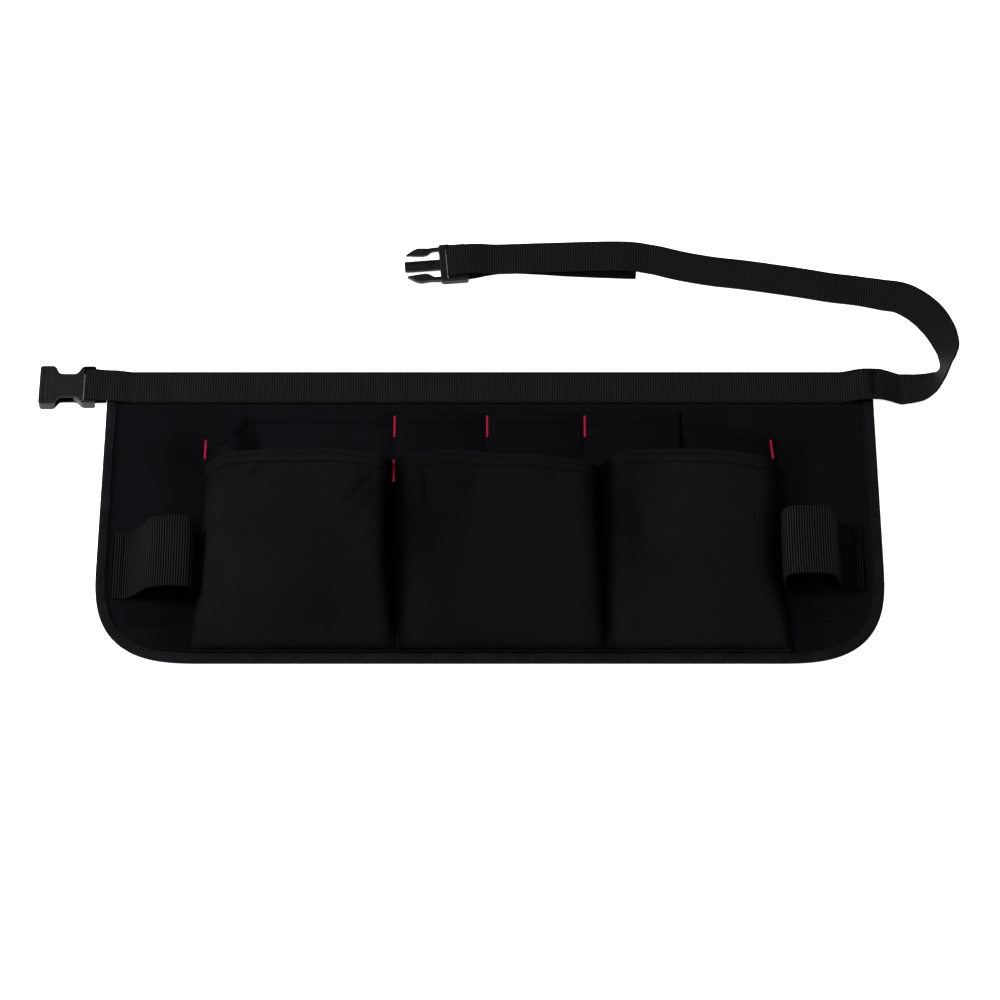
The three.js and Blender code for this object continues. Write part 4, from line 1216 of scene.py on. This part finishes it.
def pocket_surface(name, place, share, seed):
    """Points of a lower pocket at shares across and down, with how thick its cloth is there."""
    drop = np.interp(place, MOUTH_EDGE["across"], MOUTH_EDGE[name])
    drop = drop * pocket_depth * (1 - share)
    y = lower_top - drop - share * (pocket_depth - flange / 2)
    start, end = pocket_edges(name, y)
    x = start + place * (end - start)
    side = shoulder(np.minimum(place, 1 - place) / shoulder_share)
    foot = shoulder((1 - share) / foot_share)
    belly = mouth_rise + (belly_rise - mouth_rise) * np.sin(math.pi * np.minimum(share / belly_share, 1))
    dent = 0
    for row in DENTS[name]:
        away = ((place - row["across"]) / row["wide"]) ** 2 + ((share - row["down"]) / row["long"]) ** 2
        dent = dent + row["depth"] * mouth_rise / belly_rise * np.exp(-away)
    rise = belly * side * foot * (1 - dent)
    width = np.max(end - start)
    soft = np.clip(side * foot, 0, 1) ** 2
    rise = rise - soft * crease_depth(name, place * width, -share * pocket_depth, width)
    rise = rise + soft * rumple(x, y, seed, 70.0) * 0.7 + soft * rumple(x, y, seed + 1, 26.0) * 0.16
    down = share * pocket_depth
    pucker = bell(down, 14, 5) * rumple(x, y * 0.2, seed + 2, 11.0, 5) * 0.22
    near_foot = np.exp(-((down - pocket_depth + 9) / 6) ** 2)
    pucker = pucker + near_foot * rumple(x, y * 0.2, seed + 3, 9.0, 5) * 0.3
    rise = np.maximum(rise + pucker * soft, 0)
    hem = np.clip((hem_depth - down) / 0.7, 0, 1)
    lip = bell(down, 1.2, 1.3)
    grooves = bell(down, MOUTH_ROW, 0.55) * 0.3 + bell(down, HEM_ROW, 0.55) * 0.45
    thick = pocket_cloth + hem_extra * hem + 0.3 * lip - grooves
    under = upper_face(x, y)
    eased = sum(upper_face(x + away, y) for away in EASE) / len(EASE)
    z = under + soft * (eased - under) + gap + rise
    # Painted shade: near black on the walls that face the valleys, darker round the other sides, in both
    # stitch rows, at the bottom edge and in the SHADES hollows.
    near = np.minimum(place, 1 - place)
    inner = (place > 0.5) & (name != "right") | (place < 0.5) & (name != "left")
    rounded_share = np.clip((shoulder(near / shoulder_share) - 0.5) / 0.47, 0, 1)
    rounded_share = rounded_share ** 2 * (3 - 2 * rounded_share)
    floor_lit = np.where(inner, 0.04, 0.9)
    lit = floor_lit + (1 - floor_lit) * np.maximum(rounded_share, np.clip((share - 0.9) / 0.1, 0, 1) * 0.5)
    stitched = bell(down, MOUTH_ROW, 0.5) * 0.35 + bell(down, HEM_ROW, 0.5) * 0.5
    lit = lit * (1 - stitched) * (1 - 0.25 * bell(share, 1, 0.02))
    for row in SHADES[name]:
        away = ((place - row["across"]) / row["wide"]) ** 2 + ((share - row["down"]) / row["long"]) ** 2
        lit = lit * (1 - row["depth"] * np.exp(-away))
    return np.stack([x, y, z], -1), thick, lit


POCKET_SEEDS = {"left": 31, "middle": 41, "right": 51}
EASE = np.linspace(-18, 18, 19)


def make_pocket(name):
    seed = POCKET_SEEDS[name]
    half = np.concatenate([[0, 0.003, 0.007, 0.012, 0.019, 0.028], np.linspace(0.04, 0.5, 44)])
    across = np.concatenate([half, 1 - half[:-1][::-1]])
    hem = [0, 0.5, 1.2, 2.2, 3.1, 3.6, 4.1, 5.5, 7.5, 9.4, 10.0, 10.4, 10.9, 11.6, 12.6]
    hem = np.array(hem) / pocket_depth
    body = np.linspace(0.094, 0.9, 84)
    foot = 1 - (1 - 0.9) * (1 - np.linspace(0, 1, 20)[1:]) ** 1.6
    down = np.concatenate([hem, body, foot])
    place, share = np.meshgrid(across, down)
    grid, thick, lit = pocket_surface(name, place, share, seed)
    y = grid[:, 0, 1]
    start, _ = pocket_edges(name, y, flange - gap)
    first = np.stack([start, y, upper_face(start, y) + gap], -1)
    y = grid[:, -1, 1]
    _, end = pocket_edges(name, y, flange - gap)
    last = np.stack([end, y, upper_face(end, y) + gap], -1)
    grid = np.concatenate([first[:, None], grid, last[:, None]], 1)
    thick = np.concatenate([thick[:, :1], thick, thick[:, -1:]], 1)
    toe = grid[-1].copy()
    toe[:, 1] = pocket_bottom - rim_slope
    toe[:, 2] = upper_face(toe[:, 0], toe[:, 1]) + gap
    grid = np.concatenate([grid, toe[None]])
    thick = np.concatenate([thick, thick[-1:]])
    # Painted shade: the sewn side strips get half the lit value of the wall beside them.
    lit = np.concatenate([lit[:, :1] * 0.5, lit, lit[:, -1:] * 0.5], 1)
    lit = np.concatenate([lit, lit[-1:]])
    run = np.stack([lengths_along(row) for row in grid])
    fall = np.stack([lengths_along(grid[:, k]) for k in range(grid.shape[1])], 1)
    cloth = np.stack([run, fall], -1)
    piece = cloth_wall(f"pocket_{name}_canvas", grid, thick, POCKET_CANVAS, cloth, lit=lit)
    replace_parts(piece, f"lower_pocket_{name}")
    normal = unit(np.cross(np.gradient(grid, axis=0), np.gradient(grid, axis=1)))
    rows = []
    for k in (5, 11):
        line = (grid + normal * thick[..., None])[k, 4:-4]
        rows.append((line, normal[k, 4:-4]))
    sew(f"pocket_{name}_stitches", rows, pitch=3.0, stitch=2.3, radius=0.26)
    return piece


# Hammer loops
def make_loop(name):
    facts = LOOPS[name]
    start = facts["seam"] + loop_clear + loop_reach
    foot = panel_cloth + gap + loop_webbing / 2
    along, rise = (np.array(LOOP_LINE[name][key]) for key in ("along", "rise"))
    line = np.stack([along * facts["reach"], 0 * along, rise * facts["height"]], -1)
    curve = spline(line, np.linspace(0, 1, 400))
    even, curve = spaced(curve, rib_pitch / rib_steps)
    edge = np.array([-0.5, -0.495, -0.485, -0.46])
    across = np.concatenate([edge, np.linspace(-0.42, 0.42, 25), -edge[::-1]])
    full = np.interp(np.abs(across), [0, 0.46, 0.485, 0.495, 0.5], [1, 1, 0.95, 0.75, 0.5])
    height = np.maximum(curve[:, 2], 0)[:, None] * (1 + 2 * across[None, :] * facts["tilt"])
    wander = drift(across * loop_width, 61, 0.25, 23.0, 39.0)[None, :]
    x = facts["side"] * (start - curve[:, 0][:, None] + wander * np.clip(height / 8, 0, 1))
    y = -facts["place"] + across[None, :] * loop_width + 0 * x
    grid = np.stack([x, y, foot + height], -1)
    relief = (1 - ribs(even)) * rib_depth * 4.0
    thick = loop_webbing * full[None, :] - relief[:, None]
    cloth = np.stack(np.broadcast_arrays(even[:, None], across[None, :] * loop_width), -1)
    if facts["side"] > 0:
        grid, thick, cloth = grid[:, ::-1], thick[:, ::-1], cloth[:, ::-1]
    away = facts["side"] * x - facts["seam"] - loop_clear
    # Painted shade over the loop, deeper on its flat outer end.
    lit = facts["lit"] * (1 - facts["flat_shade"] * band(away, loop_reach - 6, 9.0, 9.0))
    piece = cloth_wall(f"hammer_loop_{name}_webbing", grid, thick, LOOP_WEBBING, cloth, seat=0.5, lit=lit)
    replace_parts(piece, f"hammer_loop_{name}")
    rows = []
    for back in (2.0, 6.0):
        x_row = facts["side"] * (start - back)
        ends = [-facts["place"] + s * loop_width for s in (-0.47, 0.47)]
        line = np.array([[x_row, end, foot + loop_webbing / 2] for end in ends])
        rows.append((line, UP))
    sew(f"hammer_loop_{name}_stitches", rows, pitch=2.8, stitch=2.2, radius=0.26)
    return piece


# The short stitch rows that show on the panel under each loop: ends along X and the row's Y
PANEL_ROWS = [
    {"from": -242, "to": -225, "y": -84},
    {"from": -242, "to": -225, "y": -87.5},
    {"from": 223, "to": 234, "y": -80.5},
    {"from": 223, "to": 234, "y": -84},
]


def make_panel_stitches():
    rows = []
    for row in PANEL_ROWS:
        line = np.array([[row[end], row["y"], panel_cloth + panel_height(row[end] * 1.0, row["y"] * 1.0)]
                         for end in ("from", "to")])
        rows.append((line, UP))
    return sew("panel_stitches", rows, pitch=2.4, stitch=2.0, radius=0.3)


# Red bartacks
def make_bartacks():
    for name in ("upper_left", "upper_middle", "upper_right", "corner_left", "corner_right", "valley"):
        node = f"bartack_{name}"
        low, high = corners(node)
        middle = (low + high) / 2
        lean = {"corner_left": 0.0, "corner_right": -1.2}.get(name, 0.0)
        start = np.array([middle[0] - lean / 2, low[1] + 0.3, (low[2] + high[2]) / 2])
        along = np.array([lean, high[1] - low[1] - 0.6, 0.0])
        count = int(along[1] / 0.62)
        piece = satin(f"red_{node}", start, [1, 0, 0], along, UP, count, tack_width * 0.95, 0.36)
        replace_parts(piece, node)


# Buckle
def rounded(points, radius, steps=5):
    """A polygon with its corners turned into arcs of a radius, or less where a side is short."""
    points = np.asarray(points, float)
    made = []
    for k, here in enumerate(points):
        before, after = points[k - 1] - here, points[(k + 1) % len(points)] - here
        a, b = np.linalg.norm(before), np.linalg.norm(after)
        cut = min(radius, a * 0.45, b * 0.45)
        start, end = here + before / a * cut, here + after / b * cut
        for t in np.linspace(0, 1, steps):
            made.append((1 - t) ** 2 * start + 2 * t * (1 - t) * here + t ** 2 * end)
    return np.array(made)


def outward_ways(outline):
    """The outward direction at each point of a closed outline that runs anticlockwise."""
    ahead = unit(np.roll(outline, -1, axis=0) - outline)
    behind = unit(outline - np.roll(outline, 1, axis=0))
    way = unit(ahead + behind)
    return np.stack([way[:, 1], -way[:, 0]], -1)


def plate(name, outline, low, high, soft=0.0, steps=4):
    """A plate from an outline, with its upper and lower edges rounded to a radius."""
    outline = np.asarray(outline, float)
    if np.sum(outline[:, 0] * np.roll(outline[:, 1], -1) - outline[:, 1] * np.roll(outline[:, 0], -1)) < 0:
        outline = outline[::-1]
    way = outward_ways(outline)
    quarter = np.linspace(0, math.pi / 2, steps + 1) if soft else np.array([math.pi / 2])
    levels = [(low + soft * (1 - math.sin(a)), soft * (1 - math.cos(a))) for a in quarter[::-1]]
    levels += [(high - soft * (1 - math.sin(a)), soft * (1 - math.cos(a))) for a in quarter]
    rings = [np.concatenate([outline - way * inset, np.full((len(outline), 1), z)], -1)
             for z, inset in levels]
    points = np.concatenate(rings) * MM
    count = len(outline)
    flat = np.arange(len(points)).reshape(-1, count)
    turn = np.roll(flat, -1, axis=1)
    faces = np.stack([flat[:-1], turn[:-1], turn[1:], flat[1:]], -1).reshape(-1, 4).tolist()
    faces += [flat[0][::-1].tolist(), flat[-1].tolist()]
    data = bpy.data.meshes.new(name)
    data.from_pydata(points.tolist(), [], faces)
    data.update()
    return in_scene(name, data)


def box(name, low, high):
    (x0, y0, z0), (x1, y1, z1) = low, high
    return plate(name, [(x0, y0), (x1, y0), (x1, y1), (x0, y1)], z0, z1)


def combine(body, tool, operation):
    """Joins a tool to a body or cuts it away, and removes the tool."""
    step = body.modifiers.new("combine", "BOOLEAN")
    step.operation = operation
    step.object = tool
    step.solver = "MANIFOLD"
    settle(body)
    bpy.data.objects.remove(tool)


def settle(body):
    """Replaces a body's mesh by what its modifiers make."""
    shown = body.evaluated_get(bpy.context.evaluated_depsgraph_get())
    mesh = bpy.data.meshes.new_from_object(shown)
    body.modifiers.clear()
    body.data = mesh


def smooth_edges(body, width, segments=3, angle=38):
    step = body.modifiers.new("edges", "BEVEL")
    step.width = width * MM
    step.segments = segments
    step.limit_method = "ANGLE"
    step.angle_limit = math.radians(angle)
    step.harden_normals = True
    settle(body)
    for face in body.data.polygons:
        face.use_smooth = True
    weight = body.modifiers.new("faces", "WEIGHTED_NORMAL")
    weight.keep_sharp = True
    settle(body)


def seat_webbing(body, bar, end, y, slot_open, over_spill=0.0):
    """The slot for the webbing, and the thinner plate it lies on."""
    wide = (belt_width + slot_spare) / 2
    combine(body, box("cut", (bar["x"] - slot_open, y - wide, -5), (bar["x"], y + wide, 20)), "DIFFERENCE")
    combine(body, box("cut", (bar["x"], y - wide, bar["high"]), (end + 1, y + wide + over_spill, 20)),
            "DIFFERENCE")
    combine(body, box("cut", (bar["x"], y - wide, -5), (end + 1, y + wide, bar["low"])), "DIFFERENCE")


def make_socket():
    half = buckle_width / 2
    end = socket_bar["x"] + bar_length
    y = belt_centre - socket_drop
    at = lambda share: end - (1 - share) * socket_length
    waist = socket_waist / buckle_width
    side = [(0, 1), (0.27, 1), (0.36, waist), (0.66, waist), (0.76, 0.98), (1, 0.98)]
    outline = [(at(a), y - (w + 0.12 * (w == waist) + 0.04 * (w == 1)) * half) for a, w in side]
    outline += [(at(a), y + w * half) for a, w in reversed(side)]
    body = plate("buckle_socket_shell", rounded(outline, 2.2, 7), 0, buckle_thick, 0.9, 5)
    rim_half = half - 0.9
    for start, rise in ((0.035, 0.45), (0.115, 0.3)):
        rim = rounded([(at(start), y - rim_half), (at(start + 0.045), y - rim_half),
                       (at(start + 0.045), y + rim_half), (at(start), y + rim_half)], 0.7)
        combine(body, plate("rim", rim, buckle_thick - 1.0, buckle_thick + rise, 0.25, 2), "UNION")
    inside = (buckle_wall, buckle_thick - buckle_wall)
    combine(body, box("cavity", (at(-0.3), y - half + buckle_wall, inside[0]),
                      (at(0.3), y + half - buckle_wall, inside[1])), "DIFFERENCE")
    for side in (-1, 1):
        ends = sorted((y + side * (waist * half - 2.5), y + side * half * 1.2))
        window = box("window", (at(0.29), ends[0], inside[0]), (at(0.62), ends[1], inside[1]))
        combine(body, window, "DIFFERENCE")
    seat_webbing(body, socket_bar, end, y, socket_slot)
    smooth_edges(body, 0.35)
    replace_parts(dress(body, PLASTIC), "buckle_socket")


def make_plug():
    y = belt_centre + strap_rise - plug_drop
    half = plug_width / 2 + plug_spread
    end = plug_bar["x"] + frame_length
    face = plug_bar["x"] - slot_width - cross_bar
    middle = (plug_bar["low"] + plug_bar["high"]) / 2
    low, high = middle - plug_thick / 2, middle + plug_thick / 2
    outline = [(face, y - half), (end, y - half), (end, y + half), (face, y + half)]
    body = plate("buckle_plug_body", rounded(outline, 2.0), low, high, 1.0, 4)
    seat_webbing(body, plug_bar, end, y, plug_slot, 2 * plug_drop)
    prong = [(-0.05, 0.9), (0.1, 0.89), (0.28, 0.865), (0.38, 0.885), (0.55, 0.91), (0.7, 0.81), (0.91, 0.56),
             (0.42, 0.485), (0.3, 0.53), (0.22, 0.645), (0.15, 0.7), (-0.05, 0.7)]
    guide = [(-0.05, 0.22), (0.95, 0.216), (0.95, -0.31), (-0.05, -0.31)]
    for rows, side, inset, raised, soft in ((prong, 1, 0.9, 2.4, 1.0), (prong, -1, 0.9, 1.2, 1.0),
                                            (guide, 1, 0.8, 2.2, 1.2)):
        shape = [(face - b * prong_length, y + side * o * half) for b, o in rows]
        arm = plate("arm", rounded(shape, soft), low + raised, high - inset, 0.35, 3)
        combine(body, arm, "UNION")
    groove = [(0.1, 0.1), (0.88, 0.1), (0.88, 0.02), (0.1, 0.02)]
    shape = [(face - b * prong_length, y + o * half) for b, o in groove]
    combine(body, plate("cut", shape, high - 1.6, high + 3), "DIFFERENCE")
    smooth_edges(body, 0.25)
    pivot = Matrix.Translation(Vector((plug_bar["x"] * MM, y * MM, 0)))
    body.data.transform(pivot @ Matrix.Rotation(math.radians(plug_turn), 4, "Z") @ pivot.inverted())
    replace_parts(dress(body, PLASTIC), "buckle_plug")


def lay_floor():
    mesh = bpy.data.meshes.new("floor")
    reach = 6.0
    mesh.from_pydata([(-reach, -reach, 0), (reach, -reach, 0), (reach, reach, 0), (-reach, reach, 0)], [],
                     [(0, 1, 2, 3)])
    floor = in_scene("floor", mesh)
    floor.location.z = -0.0002
    mesh.materials.append(floor_finish().material)


place_camera()
light_studio()
lay_floor()
make_panel()
make_binding()
make_belt()
make_strap()
make_belt_tack()
make_upper_wall()
for pocket in ("left", "middle", "right"):
    make_pocket(pocket)
for loop in ("left", "right"):
    make_loop(loop)
make_panel_stitches()
make_bartacks()
make_socket()
make_plug()
